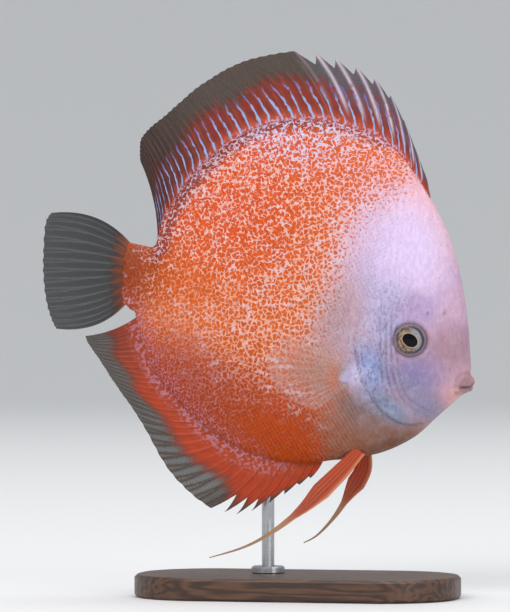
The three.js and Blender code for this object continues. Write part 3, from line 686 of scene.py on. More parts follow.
def body_colours(points):
    """Colours of net and marks; the level that the marks' field is cut at, from the share they cover;
    how fine the cells are, how far they merge or run into worms; and the gill cover's flecks and painted
    sheen"""
    x, z = points[:, 0], points[:, 2]
    face = fade(x, 84, 94)
    shoulder = fade(x - 0.8 * np.maximum(z - 42, 0), 65, 87) * fade(z, -26, -12)
    bare = np.maximum(shoulder, face)
    cover = wash(x, z, COVER, COVER_WASHES) * (1 - bare)
    net = shade_creases(x, z, wash(x, z, NET, NET_WASHES))
    back = np.abs(line_distance(x, z, BACK[1:9]))
    dark = (1 - fade(back + 0.06 * x, 3.5, 9.0)) * fade(x, 5, 12)
    mark = blend(dark, wash(x, z, MARK, MARK_WASHES), srgb(140, 50, 22))
    net = blend(0.6 * dark, net, srgb(186, 176, 210))
    lilac = 1 - fade(np.abs(line_distance(x, z, BELLY[1:8])), 2.0, 9.0)
    net = blend(0.7 * lilac, net, srgb(198, 122, 140))
    # Painted shade as well as the skin's own darker tone: a dark ring round the eye, on the sunken edge of
    # its socket
    eye_rim = 1 - fade(np.hypot(x - EYE_AT[0], z - EYE_AT[1]), 5.8, 6.9)
    net = blend(0.45 * eye_rim, net, srgb(112, 96, 104))
    return {"net": net, "mark": mark, "level": 1 - np.sqrt(cover),
            "fine": wash(x, z, FINE, FINE_WASHES),
            "merge": wash(x, z, MERGE, MERGE_WASHES) * (1 - bare),
            "worm": wash(x, z, WORM, WORM_WASHES) * (1 - bare),
            "fleck": wash(x, z, FLECK_AND_SHEEN, FLECK_AND_SHEEN_WASHES)}


# %% [markdown]
# ## The skin
# The solids part at the head, the gill covers and the tail, which the living fish doesn't. They
# could be joined and smoothed, but that would melt the fine forms. So one closed skin replaces them
# and runs from the root of the tail to the lips without a seam. Rings of points are spaced along
# the fish, close together on the head, and each ring crosses both flanks with a few points over the
# back and the belly. The front closes in a dome for the lips.

# %% Skin mesh
SIDE_POINTS = 118
RING_COUNTS = [(0.0, 1.6, 16), (1.6, 3.6, 44), (3.6, 8.6, 96), (8.6, 12.6, 118), (12.6, 14.0, 52)]
CROWN_POINTS = 4
DOME_RINGS = 10
DOME_AHEAD = np.array([1.0, 0, -0.2])


def make_skin():
    """Rings over stations q; the dome scales the last ring by cos and pushes it out by sin"""
    stations = np.concatenate([np.linspace(a, b, n, endpoint=False) for a, b, n in RING_COUNTS] + [[LAST]])
    turn = np.linspace(-1, 1, SIDE_POINTS)
    heights = np.sin(turn * np.pi / 2)
    q, v = np.meshgrid(stations, heights, indexing="ij")
    left = flank(q, v)
    over = np.linspace(-1, 1, CROWN_POINTS + 2)[1:-1]
    ones = np.ones(CROWN_POINTS)

    def crown(column, span):
        """Points over the back or belly, from the right flank's edge to the left flank's edge"""
        edge = left[:, column]
        away = edge - flank(stations, np.zeros(len(stations))) * [1, 0, 1]
        away[:, 1] = 0
        away /= np.linalg.norm(away, axis=1, keepdims=True)
        rise = KEEL_RISE * (1 - under_fin(stations, span))
        points = edge[:, None] * np.stack([ones, over, ones], -1)
        return points + away[:, None] * (rise[:, None] * (1 - over**2))[..., None]

    top = crown(-1, DORSAL_SPAN)
    bottom = crown(0, ANAL_SPAN)[:, ::-1]
    rings = np.concatenate([left * [1, -1, 1], top, left[:, ::-1], bottom], axis=1)
    centre = rings[-1].mean(axis=0)
    angle = np.linspace(0, np.pi / 2, DOME_RINGS + 1)[1:, None, None]
    dome = centre + (rings[-1] - centre) * np.cos(angle) + DOME_AHEAD * np.sin(angle)
    rings = np.concatenate([rings, dome[:-1]])
    rows, columns = rings.shape[:2]
    along = np.gradient(rings, axis=0)
    across = (np.roll(rings, -1, axis=1) - np.roll(rings, 1, axis=1)) / 2
    normal = np.cross(across, along)
    normal /= np.maximum(np.linalg.norm(normal, axis=-1, keepdims=True), 1e-9)
    outward = np.sign((normal[:, :, 1] * rings[:, :, 1]).sum())
    points = rings.reshape(-1, 3)
    points = points + normal.reshape(-1, 3) * outward * head_relief(points)[:, None]
    tail, nose = points[:columns].mean(axis=0), centre + DOME_AHEAD
    points = np.concatenate([points, [tail, nose]])
    return make_piece("skin", to_room(points),
                      [grid_faces(rows, columns, wrap=True), end_fans(rows, columns)], body_colours(points))


skin = make_skin()
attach(skin, "root")
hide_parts("head", "trunk", "tail_base", "gill_cover_right", "gill_cover_left")


# %% [markdown]
# ## The finish of skin and scales
# The marks are cells in a net. A cell texture tells how far a place is from its cell's middle and
# from its border, and the share border / (border + middle) is 1 in the middle and 0 on the net.
# Cut at a low level that leaves fat cells with thin lines between, and at a high level lone dots.
# Noise bends the net and drops some of its lines, so that cells merge, and sinks the field along
# its own contour lines, which cuts the marks into worms. A painted picture would need two flanks
# drawn by hand. Skin and scales share this rule and read it at their own place in the room, so the
# pattern runs on unbroken from one to the other.


# %% Pattern of the marks
CELL_PITCH = 1.7 * MM
FINE_PITCH = 1.2 * MM
CELL_DRIFT = 3.0 * MM
MAZE_SCALE = 430.0
SOFT_EDGE = 0.12


def spot_marks(paint, spot, streak):
    """1 on the marks and 0 on the net; streaks raise the level and so thin the marks out"""
    drift = paint.node("ShaderNodeTexNoise", {}, {"Vector": spot, "Scale": 480.0, "Detail": 2.0}, "Color")
    bent = paint.node("ShaderNodeVectorMath", {"operation": "MULTIPLY_ADD"}, {
        0: drift, 1: (CELL_DRIFT, CELL_DRIFT, 0), 2: spot})
    joined = paint.noise(spot, 620.0, 1.0).step(0.45, 0.62) * paint.value("merge") * 0.6
    ragged = paint.noise(spot, 1300.0, 1.0) * 0.36 - 0.18
    contour = paint.maths("ABSOLUTE", paint.noise(bent, MAZE_SCALE, 0.0) - 0.5)
    worm = 1 - paint.value("worm") * (1 - contour.step(0.01, 0.06))
    level = paint.value("level") + streak * 0.14

    def cut_cells(pitch):
        border = paint.cells(bent, 1 / pitch, 0.85, "DISTANCE_TO_EDGE")
        middle = paint.cells(bent, 1 / pitch, 0.85)
        field = (border / (border + middle) + joined + ragged) * worm
        return field.step(level - SOFT_EDGE, level + SOFT_EDGE)

    fine = paint.value("fine")
    return cut_cells(CELL_PITCH) * (1 - fine) + cut_cells(FINE_PITCH) * fine


# %% Skin finish
def make_skin_finish(name, relief):
    """Marks on the net, then pores, the gill cover's flecks and painted sheen, and a soft cloudiness over
    both. The flat patterns lie on the side view with a lean, so that the flanks differ"""
    paint = Finish(name)
    spot = paint.place(turn=(np.radians(-73), 0, 0))
    streak = paint.noise(paint.place(scale=(0.4, 1, 1)), 420.0, 1.0).step(0.54, 0.7)
    streak = streak * (1 - paint.value("fine"))
    marks = spot_marks(paint, spot, streak)
    mottle = paint.noise(spot, 240.0, 3.0, 0.6)
    pale = streak * (1 - paint.value("level")).step(0.2, 0.7) * 0.36 + mottle.step(0.4, 0.8) * 0.12
    net = paint.mix(pale, paint.colour("net"), opaque(226, 214, 230))
    deep = paint.mix(mottle.step(0.35, 0.75) * 0.28, paint.colour("mark"), opaque(176, 46, 0))
    colour = paint.mix(marks * 0.97, net, deep)
    pores = 1 - (paint.cells(spot, 260.0) + mottle * 0.1).step(0.08, 0.12)
    colour = paint.mix(pores * 0.35 * (1 - marks), colour, opaque(92, 72, 92))
    fleck = paint.value("fleck")
    specks = paint.noise(paint.place(scale=(1.0, 1.0, 0.6)), 1300.0, 1.0).step(0.52, 0.64)
    # Painted sheen: pale blue-white mottling between the gill cover's dark specks
    colour = paint.mix(mottle.step(0.45, 0.75) * fleck * 0.5, colour, opaque(186, 198, 232))
    colour = paint.mix(specks * fleck * 0.6, colour, opaque(84, 84, 124))
    grain = paint.noise(spot, 1500.0, 2.0, 0.55)
    cloud = paint.noise(paint.place(turn=(0, PITCH, 0), scale=(1.6, 1, 0.7)), 520.0, 4.0, 0.65)
    clouded = paint.mix(1.0, colour, opaque(188, 178, 192), "MULTIPLY")
    colour = paint.mix(cloud.step(0.35, 0.6) * 0.25, colour, clouded)
    normal = paint.bump(grain + mottle * 0.6, relief, 0.0003)
    print(name, "has", len(paint.tree.nodes), "nodes")
    return paint.surface(Base_Color=colour, Roughness=0.46 + grain * 0.12, Normal=normal,
                         Specular_IOR_Level=0.16, Coat_Weight=0.05, Coat_Roughness=0.3)


skin.data.materials.append(make_skin_finish("wet_skin", 0.3))

# %% [markdown]
# ## Dorsal and anal fins
# A fin is a thin sheet on bony rays. A flat sheet with painted rays would look like paper from the
# side, so each fin is a grid of t, from the first ray to the last, and v, from the body to the rim:
# a ray is a line from its root on the body's edge to its tip, bent back like a drawn bow, and the
# sheet between rays is thinner. Spines in front carry pointed lappets; the soft rays behind part in
# two towards the rim. Colour follows the same two numbers.

# %% Fin tools
ROOT_DEPTH = 0.8
MEMBRANE_HALF, RIM_HALF = 0.34, 0.16
RAY_RISE, RAY_FALL = 0.34, 0.26
RAY_PARTING = 0.2
RIM_FRINGE = 0.012


def bent_ray(root, tip, bend, v):
    """From inside the body at the root to the tip, and bowed aside by a share of its length"""
    along = tip - root
    length = np.linalg.norm(along, axis=-1, keepdims=True)
    aside = np.stack([-along[..., 1], along[..., 0]], -1)
    share = v[..., None]
    start = -ROOT_DEPTH / length
    return root + along * (start + share * (1 - start)) + aside * bend * 4 * share * (1 - share)


def ray_phase(t, first, last, count):
    """How far a place is from the nearest ray, as a share of the spacing, from 0 to 0.5"""
    phase = (t - first) / (last - first) * (count - 1)
    return np.abs(phase - np.round(phase))


def soft_crest(t, v, rays, opens, width):
    """Height of soft rays, 0 to 1: each parts in two from a share of its length outwards"""
    return ridge(ray_phase(t, *rays), RAY_PARTING * fade(v, opens, 1.0), width)


def sheet_half(v, crest, foot_half, foot_reach):
    """Half a thickness: a sheet that thins towards its rim, swells at its foot and carries rays"""
    membrane = MEMBRANE_HALF + (RIM_HALF - MEMBRANE_HALF) * v
    foot = (foot_half - membrane) * np.clip(1 - v / foot_reach, 0, 1) ** 2
    return membrane + foot + crest * (RAY_RISE - RAY_FALL * v) * np.clip(v / 0.1, 0, 1)


# %% Fin mesh
def fin_mesh(name, t, v, place, half, values, across=(0, 1, 0)):
    """Two sheets half a thickness either side of the middle one, joined round their rim"""
    tt, vv = np.meshgrid(t, v, indexing="ij")
    middle = place(tt, vv)
    thick = half(tt, vv)[..., None] * np.asarray(across, float)
    front, back = (middle + thick).reshape(-1, 3), (middle - thick).reshape(-1, 3)
    count = len(front)
    faces = grid_faces(len(t), len(v))
    along_t, along_v = np.arange(len(t)) * len(v), np.arange(len(v))
    rim = np.concatenate([along_t, along_t[-1] + along_v[1:],
                          along_t[-2::-1] + along_v[-1], along_v[-2:0:-1]])
    after = np.roll(rim, -1)
    wall = np.stack([after, rim, rim + count, after + count], -1)
    quads = np.concatenate([faces, faces[:, ::-1] + count, wall])
    data = {key: np.reshape(value, (count, -1)) for key, value in values(tt, vv).items()}
    data = {key: np.concatenate([value, value]).squeeze() for key, value in data.items()}
    uv = np.stack([tt.ravel(), vv.ravel()], -1)
    return make_piece(name, to_room(np.concatenate([front, back])), [quads], data, np.concatenate([uv, uv]))


# %% Shape of the fins that stand on the body
DORSAL_TIPS = [[93.8, 64.3], [70.4, 90.2], [44.0, 95.1], [21.8, 86.5], [7.6, 73.6], [-2.3, 59.4],
               [-9.2, 48.4], [-7.2, 39.7]]
ANAL_TIPS = [[85.4, -50.0], [63.2, -70.8], [39.7, -65.8], [19.2, -48.0], [7.4, -38.9], [-0.1, -33.1],
             [-6.6, -28.4], [-8.4, -26.0]]
DORSAL_SPINES, DORSAL_RAYS = (0.004, 0.336, 9), (0.346, 0.995, 31)
ANAL_SPINES, ANAL_RAYS = (0.004, 0.2, 8), (0.21, 0.995, 30)
SPINE_COLUMNS, RAY_COLUMNS, FIN_ROWS = 9 * 14, 31 * 9, 56
FOOT_HALF, FOOT_REACH = 1.35, 0.22


def crests(t, v, spines, soft):
    """Height of the rays, 0 to 1: single on a spine, and parted in two towards the rim on a soft ray"""
    spine = ridge(ray_phase(t, *spines), 0, 0.13) * (t <= spines[1] + 0.004)
    return np.where(t <= (spines[1] + soft[0]) / 2, spine, soft_crest(t, v, soft, 0.45, 0.11))


def edge_fin(name, line, span, tips, bend, wave, spines, soft, notch, deepest, values):
    """A fin on the back or belly line. Its rim is notched between two spines, deepest at a share of
    the way from one to the next, so that each spine carries a lappet"""
    def reach(t):
        behind = (t - spines[0]) / (spines[1] - spines[0]) * (spines[2] - 1) % 1
        depth = np.minimum(behind / deepest, (1 - behind) / (1 - deepest))
        lappet = notch * depth**0.8 * (t < spines[1])
        fringe = RIM_FRINGE * ray_phase(t, *soft) * 2 * (t > soft[0])
        return 1 - lappet - fringe

    def place(t, v):
        share = v * reach(t)
        root = spline(line, span[0] + (span[1] - span[0]) * t)
        spot = bent_ray(root, spline(tips, t * (len(tips) - 1)), bend, share)
        flutter = wave * np.sin(t * 9) * share**2 + 0.25 * np.sin(t * 70) * share**3
        return np.stack([spot[..., 0], flutter, spot[..., 1]], -1)

    def half(t, v):
        return sheet_half(v, crests(t, v, spines, soft), FOOT_HALF, FOOT_REACH)

    def values_at_reach(t, v):
        return values(t, v * reach(t), crests(t, v, spines, soft))

    border = (spines[1] + soft[0]) / 2
    t = np.concatenate([np.linspace(spines[0], border, SPINE_COLUMNS),
                        np.linspace(border, soft[1], RAY_COLUMNS)[1:]])
    piece = fin_mesh(name, t, np.linspace(0, 1, FIN_ROWS), place, half, values_at_reach)
    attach(piece, "root")
    return piece


# %% [markdown]
# The dorsal fin is brick red at its root, where the body's pale net runs out over it as a lace, with
# sky-blue streaks along the rays and red dots beyond them. Its rim is a smoky, see-through band, its
# rear lobe dark maroon, and the spines in front are pale lavender. The anal fin carries the body's
# marks at its root, turns red, and ends in the same smoke, with darker lappets in front. The bands
# follow the rays on the real fish, so they are worked out from t and v, and frayed from ray to ray.


# %% Bands of the dorsal and anal fins
def jitter(t):
    """An uneven shift from ray to ray, which frays a band's edge along the rays"""
    return 0.018 * np.sin(t * 211) + 0.014 * np.sin(t * 517)


def dorsal_values(t, v, crest):
    """Bands over v: the body's orange at the root, brick red, then smoke; the rear lobe is darker"""
    rear = fade(t, 0.55, 0.9)
    spiny = 1 - fade(t, 0.28, 0.36)
    red = blend(rear, srgb(134, 42, 24), srgb(78, 24, 20))
    smoke = blend(rear, srgb(60, 48, 38), srgb(40, 18, 12))
    root = blend(rear, srgb(184, 66, 26), srgb(148, 46, 20))
    rim = fade(v + 0.06 * np.sin(t * 26) + jitter(t), 0.4, 0.74)
    colour = blend(1 - fade(v + 0.03 * np.sin(t * 160), 0.02, 0.26), red, root)
    colour = blend(rim, colour, smoke)
    colour = blend(spiny * fade(v, 0.2, 0.5) * 0.7, colour, srgb(92, 78, 92))
    colour = blend(spiny * crest * fade(v, 0.1, 0.4), colour, srgb(206, 192, 206))
    colour = blend(crest * 0.16 * (1 - spiny), colour, srgb(170, 120, 104))
    streaked = fade(t, 0.02, 0.08) * (1 - 0.5 * fade(t, 0.8, 0.95))
    return {"ground": colour, "ray": crest,
            "streak": fade(v, 0.02, 0.1) * (1 - fade(v, 0.4, 0.64)) * streaked,
            "clear": 1 - rim * (0.3 - 0.16 * crest) * (1 - 0.5 * rear),
            "lace": 0.85 * (1 - fade(v, 0.04, 0.13)),
            "dot": ridge(v, 0.52, 0.13) * (1 - rear) * fade(t, 0.05, 0.2)}


def anal_values(t, v, crest):
    """Bands over v: body colour at the root, red-orange, then smoke; the lappets are darker"""
    spiny = 1 - fade(t, 0.17, 0.26)
    red = blend(fade(t, 0.5, 0.9), srgb(176, 56, 14), srgb(136, 48, 22))
    root = blend(fade(t, 0.1, 0.5), srgb(176, 66, 22), srgb(172, 64, 32))
    smoke = blend(spiny, srgb(54, 47, 40), srgb(72, 54, 42))
    rim = fade(v + 0.05 * np.sin(t * 30) + jitter(t), 0.42 + 0.14 * spiny, 0.72 + 0.12 * spiny)
    colour = blend(1 - fade(v, 0.04, 0.4), red, root)
    colour = blend(rim, colour, smoke)
    colour = blend(crest * 0.07, colour, srgb(190, 132, 104))
    return {"ground": colour, "ray": crest,
            "clear": 1 - rim * (0.42 - 0.26 * crest) * (1 - 0.6 * spiny),
            "lace": 0.42 * (1 - fade(v, 0.12, 0.34)) * fade(t, 0.06, 0.2)}


# %% Dorsal and anal fins
dorsal = edge_fin("dorsal_fin", BACK, DORSAL_SPAN, DORSAL_TIPS, -0.06, 1.0,
                  DORSAL_SPINES, DORSAL_RAYS, 0.2, 0.5, dorsal_values)
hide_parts("dorsal_fin_spines", "dorsal_fin_rays")
anal = edge_fin("anal_fin", BELLY, ANAL_SPAN, ANAL_TIPS, 0.07, 1.2,
                ANAL_SPINES, ANAL_RAYS, 0.36, 0.8, anal_values)
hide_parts("anal_fin_spines", "anal_fin_rays")


# %% [markdown]
# The tail fin is the clearest of the long ones: grey glass with lighter rays, orange only where it
# leaves the body. Its rays fan out from a short root, and its upper and lower edges bow outwards,
# so the bend changes from one edge to the other. The whole fin sweeps a little to the right, which
# keeps it clear of the lobe of the anal fin that lies beside it.

# %% Tail fin
CAUDAL_ROOT = [[-2.4, 10.4], [-0.4, 0], [2.4, -10.4]]
CAUDAL_TIPS = [[-32.5, 12.7], [-33.4, 8.6], [-31.3, -1.0], [-28.7, -9.5], [-25.1, -17.7],
               [-21.5, -23.3], [-18.6, -26.4]]
CAUDAL_RAYS = (0.0, 1.0, 16)
CAUDAL_COLUMNS, CAUDAL_ROWS = 15 * 10 + 1, 60
CAUDAL_SWEEP, CAUDAL_BEND, CAUDAL_FOOT, CAUDAL_FOOT_REACH = 3.2, 0.14, 2.5, 0.3


def caudal_place(t, v):
    root = spline(CAUDAL_ROOT, t * 2)
    tip = spline(CAUDAL_TIPS, t * (len(CAUDAL_TIPS) - 1))
    share = v * (1 - RIM_FRINGE * ray_phase(t, *CAUDAL_RAYS) * 2)
    spot = bent_ray(root, tip, -CAUDAL_BEND * (1 - 2 * t)[..., None], share)
    return np.stack([spot[..., 0], -CAUDAL_SWEEP * share**2, spot[..., 1]], -1)


def caudal_crest(t, v):
    return soft_crest(t, v, CAUDAL_RAYS, 0.4, 0.11)


def caudal_half(t, v):
    foot = np.maximum(0.8, CAUDAL_FOOT * np.sqrt(1 - 0.85 * (2 * t - 1) ** 2))
    return sheet_half(v, caudal_crest(t, v), foot, CAUDAL_FOOT_REACH)


def caudal_values(t, v):
    """Grey, paler on the rays, with flames of orange at the root and firmer outer edges"""
    crest = caudal_crest(t, v)
    flame = 1 - fade(v + 0.04 * np.sin(t * 50), 0.02, 0.26)
    outer = fade(np.abs(2 * t - 1), 0.9, 1.0)
    colour = blend(crest * fade(v, 0.1, 0.3) * 0.6, srgb(44, 45, 47), srgb(104, 106, 106))
    return {"ground": blend(flame, colour, srgb(124, 62, 36)), "ray": crest,
            "clear": np.clip(0.8 + 0.12 * crest + flame + 0.15 * outer - 0.1 * v, 0, 1)}


caudal = fin_mesh("tail_fin", np.linspace(0, 1, CAUDAL_COLUMNS), np.linspace(0, 1, CAUDAL_ROWS),
                  caudal_place, caudal_half, caudal_values)
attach(caudal, "root")
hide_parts("caudal_fin")

# %% [markdown]
# The breast fins are clear fans that beat all the time and nearly vanish in the water. Their roots
# are short, fleshy and pale, just behind the gill covers, and the fans stand out from the body. A
# fan opens from one spot, so its rays are turned angle by angle in a plane, not drawn between two
# lines as on the other fins.

# %% Breast fins
PECTORAL_ROOT = [[88.6, -5.6], [90.8, -13.2]]
PECTORAL_ANGLES = (10.0, -58.0)
PECTORAL_LENGTH = [[25.0], [30.0], [24.0], [16.0]]
PECTORAL_OUTWARD = np.radians(30.0)
PECTORAL_RAYS = (0.0, 1.0, 12)
PECTORAL_COLUMNS, PECTORAL_ROWS = 11 * 8 + 1, 40
PECTORAL_ROOT_DEPTH, PECTORAL_BULGE, PECTORAL_FOOT = 2.6, 2.2, 0.9


def make_pectoral(side, name):
    """Rays turn from the first angle to the last in a plane held out from the flank"""
    q, v = locate(*np.array(PECTORAL_ROOT).T)
    top, bottom = skin_frame(q, v, side)[0]

    def direction(t):
        angle = np.radians(PECTORAL_ANGLES[0] + (PECTORAL_ANGLES[1] - PECTORAL_ANGLES[0]) * t)
        flat = np.cos(PECTORAL_OUTWARD)
        return np.stack([-np.cos(angle) * flat, np.full_like(t, side * np.sin(PECTORAL_OUTWARD)),
                         np.sin(angle) * flat], -1)

    def place(t, v):
        length = spline(PECTORAL_LENGTH, t * 3)[..., 0] + PECTORAL_ROOT_DEPTH
        reach = length * v * (1 - 0.02 * ray_phase(t, *PECTORAL_RAYS)) - PECTORAL_ROOT_DEPTH
        spot = top + (bottom - top) * t[..., None] + direction(t) * reach[..., None]
        spot[..., 1] += side * PECTORAL_BULGE * v**2 * np.cos((t - 0.5) * np.pi)
        return spot

    def crest(t, v):
        return soft_crest(t, v, PECTORAL_RAYS, 0.5, 0.12)

    def half(t, v):
        membrane = 0.26 - 0.14 * v
        foot = (PECTORAL_FOOT - membrane) * np.clip(1 - v / 0.25, 0, 1) ** 2
        return membrane + foot + crest(t, v) * 0.14 * (1 - v)

    def values(t, v):
        flesh = 1 - fade(v - 0.12 * ridge(t, 0.68, 0.24), 0.06, 0.14)
        return {"ground": blend(flesh, srgb(206, 196, 200), srgb(190, 176, 208)), "ray": crest(t, v),
                "clear": np.clip(0.05 + 0.1 * crest(t, v) + 0.9 * flesh, 0, 1)}

    across = np.cross(direction(np.array([0.5]))[0], bottom - top)
    across /= np.linalg.norm(across)
    piece = fin_mesh(f"breast_fin_{name}", np.linspace(0, 1, PECTORAL_COLUMNS),
                     np.linspace(0, 1, PECTORAL_ROWS), place, half, values, across)
    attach(piece, "root")
    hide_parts(f"pectoral_fin_{name}")
    return piece


breast_fins = [make_pectoral(-1, "right"), make_pectoral(1, "left")]

# %% [markdown]
# The belly fins are narrow orange leaves that run out into long threads. A curve with a bevel would
# make a round cord, so each is a ribbon on a smooth path, its width given at a few shares of the
# length, slightly cupped, with a pale leading edge.

# %% Belly fins
PELVIC_PATHS = {
    "right": (-1, [[100.2, -34.8, 3.4], [96.4, -43, 5.2], [91.2, -53, 7], [86.8, -61, 8],
                   [79.2, -71.6, 8.6], [71, -79.8, 8.6], [60.1, -87.2, 8]]),
    "left": (1, [[100.6, -34.8, 3.4], [101.7, -42, 5.6], [99.2, -51, 8], [96, -61, 10.4],
                 [91.5, -69.8, 12.6], [87.2, -74.3, 14]]),
}
PELVIC_SHARES = [0, 0.15, 0.3, 0.42, 0.5, 0.7, 1]
PELVIC_WIDTHS = [4.2, 5.8, 6.6, 3.8, 2.2, 1.1, 0.35]
PELVIC_HALF = ([0, 0.3, 0.5, 1], [0.8, 0.34, 0.26, 0.15])
PELVIC_RAYS = (0.0, 1.0, 6)
PELVIC_CUP = 0.5
PELVIC_COLUMNS, PELVIC_ROWS = 41, 130


def make_pelvic(name, side, path):
    """A ribbon: the path, plus its sideways direction times the width at that share of its length"""
    dense = spline(path, np.linspace(0, len(path) - 1, 400))
    steps = np.concatenate([[0], np.cumsum(np.linalg.norm(np.diff(dense, axis=0), axis=1))])
    steps /= steps[-1]

    def on_path(v):
        return np.stack([np.interp(v, steps, dense[:, k]) for k in range(3)], -1)

    def place(t, v):
        spot = on_path(v)
        along = on_path(np.clip(v + 0.01, 0, 1)) - on_path(np.clip(v - 0.01, 0, 1))
        aside = np.stack([-along[..., 1], along[..., 0]], -1)
        aside /= np.linalg.norm(aside, axis=-1, keepdims=True)
        width = np.interp(v, PELVIC_SHARES, PELVIC_WIDTHS)
        flat = spot[..., :2] + aside * ((t - 0.5) * width)[..., None]
        cup = PELVIC_CUP * np.sin(np.clip(v / 0.5, 0, 1) * np.pi) * (2 * t - 1) ** 2
        return np.stack([flat[..., 0], side * (spot[..., 2] - cup), flat[..., 1]], -1)

    def crest(t, v):
        return ridge(ray_phase(t, *PELVIC_RAYS), 0, 0.16)

    def half(t, v):
        return np.interp(v, *PELVIC_HALF) + crest(t, v) * 0.16 * (1 - fade(v, 0.3, 0.6))

    def values(t, v):
        lead = fade(t, 0.8, 0.95) * (1 - fade(v, 0.5, 0.7))
        colour = blend(fade(v, 0.42, 0.6), srgb(174, 58, 16), srgb(178, 140, 104))
        colour = blend(lead * 0.7, colour, srgb(222, 150, 110))
        colour = blend(crest(t, v) * 0.25, colour, srgb(236, 140, 90))
        return {"ground": colour, "ray": crest(t, v),
                "clear": np.clip(0.97 - 0.12 * fade(v, 0.1, 0.4) + lead, 0, 1)}

    piece = fin_mesh(f"belly_fin_{name}", np.linspace(0, 1, PELVIC_COLUMNS),
                     np.linspace(0, 1, PELVIC_ROWS), place, half, values)
    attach(piece, "root")
    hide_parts(f"pelvic_fin_{name}")
    return piece


belly_fins = [make_pelvic(name, side, path) for name, (side, path) in PELVIC_PATHS.items()]


# %% [markdown]
# ## The finish of the fins
# One finish serves every fin, because the colours, the clearness and the rays are stored on the
# points; a value that a fin doesn't store reads as 0. The finish adds what is too fine to store: a
# pale lace at the foot, red dots, dark flecks that run along the rays, the cross joints that cut a
# soft ray into short lengths, and the blue streaks, a wave along t that noise bends and breaks up.


# %% Fin finish
LACE_SCALE = 900.0
DOT_SCALE = 340.0
FLECK_STRETCH = (90.0, 5.0, 1.0)
JOINT_WAVE = 130.0


def make_fin_finish(name, streaks):
    """streaks is how many blue streaks lie between the first and the last ray"""
    paint = Finish(name)
    uv = paint.node("ShaderNodeUVMap", {"uv_map": "UVMap"}, {})
    t, v = paint.split(uv)
    spot = paint.place()
    wobble = paint.noise(spot, 130.0) * 5.0 + paint.noise(spot, 600.0, 1.0) * 1.2
    wave = paint.maths("SINE", t * (streaks * 2 * np.pi) + wobble)
    broken = paint.noise(spot, 420.0, 1.0) * 0.8 - 1.1
    streak = (wave + broken).step(0.0, 0.3) * paint.value("streak").step(0.1, 0.5)
    lace = (1 - paint.noise(spot, LACE_SCALE, 0.0).step(0.42, 0.5)) * paint.value("lace")
    colour = paint.mix(lace, paint.colour("ground"), opaque(200, 156, 184))
    blue = paint.mix(v.step(0.3, 0.55), opaque(150, 184, 236), opaque(116, 108, 172))
    colour = paint.mix(streak * 0.85, colour, blue)
    dots = 1 - paint.cells(spot, DOT_SCALE, dimensions="3D").step(0.3, 0.42)
    colour = paint.mix(dots * paint.value("dot") * 0.8, colour, opaque(142, 44, 26))
    along = paint.node("ShaderNodeMapping", {}, {"Vector": uv, "Scale": FLECK_STRETCH})
    fleck = paint.noise(along, 1.0, 1.0)
    colour = paint.mix(fleck.step(0.4, 0.8) * 0.25, colour, opaque(36, 20, 18))
    joints = paint.maths("SINE", v * JOINT_WAVE)
    height = paint.value("ray") * joints * 0.12 + fleck * 0.1
    print(name, "has", len(paint.tree.nodes), "nodes")
    return paint.surface(Base_Color=colour, Roughness=0.4 + fleck * 0.15, Alpha=paint.value("clear"),
                         Normal=paint.bump(height, 0.3, 0.0003), Specular_IOR_Level=0.3,
                         Coat_Weight=0.06, Coat_Roughness=0.3)


fin_finish = make_fin_finish("fin_membrane", 38)
plain_fin_finish = make_fin_finish("clear_membrane", 1)
for piece in (dorsal, anal):
    piece.data.materials.append(fin_finish)
for piece in (caudal, *breast_fins, *belly_fins):
    piece.data.materials.append(plain_fin_finish)

# %% [markdown]
# ## Scales
# A discus has very small scales, about fifty in a row along the side. Each is a thin rounded plate,
# rooted at its front edge and free at its rear, that overlaps the next. A bump in the finish would
# vanish at the outline and near by, so they are real plates, a few dozen faces each. They are laid
# in staggered rows over the flank by the same formula as the skin, so they follow its curve, and
# they carry the same stored colours. Rows stop at the head, where the skin is bare.

# %% Scale places
SCALE_PITCH = 1.9
SCALE_WIDTH, SCALE_LENGTH = 1.2, 1.5
SCALE_LIFT, SCALE_SUNK = 0.07, 0.06
SCALE_ANGLES = np.radians([0, 50, 95, 140, 220, 265, 310])
SCALE_RIM = len(SCALE_ANGLES)
SCALE_FRONT, SCALE_INNER = 0.55, 0.82


def scale_roots():
    """A staggered grid over the side view, kept where it lies on the scaly part of the flank"""
    x, z = np.meshgrid(np.arange(-1, 122, SCALE_PITCH), np.arange(-50, 76, SCALE_PITCH / 2), indexing="ij")
    x = x + (np.arange(x.shape[1]) % 2) * SCALE_PITCH / 2
    rng = np.random.default_rng(7)
    x = x.ravel() + rng.normal(0, 0.05, x.size)
    z = z.ravel() + rng.normal(0, 0.05, z.size)
    q, v = locate(x, z)
    spot = flank(q, v)
    hits = np.hypot(spot[:, 0] - x, spot[:, 2] - z) < 0.05
    by_gill = np.where((x > 85) & (z < 19), fade(-line_distance(x, z, GILL_EDGE), 0.4, 5), 1)
    room = np.minimum(fade(102 - x - 0.1 * z, 0, 10), by_gill)
    keep = hits & (np.abs(v) < 0.985) & (room > 0.02) & (q > 0.15)
    size = rng.uniform(0.94, 1.06, keep.sum())
    return q[keep], v[keep], room[keep], size, rng.normal(0, 0.05, keep.sum())


# %% Scale mesh
def plate_faces():
    """Triangles of one plate: its rim to a smaller ring, the ring to the middle, the rim to the point"""
    k = np.arange(SCALE_RIM)
    after = (k + 1) % SCALE_RIM
    middle, under = np.full(SCALE_RIM, SCALE_RIM * 2), np.full(SCALE_RIM, SCALE_RIM * 2 + 1)
    return np.concatenate([np.stack([k, after, after + SCALE_RIM], -1),
                           np.stack([k, after + SCALE_RIM, k + SCALE_RIM], -1),
                           np.stack([k + SCALE_RIM, after + SCALE_RIM, middle], -1),
                           np.stack([after, k, under], -1)])


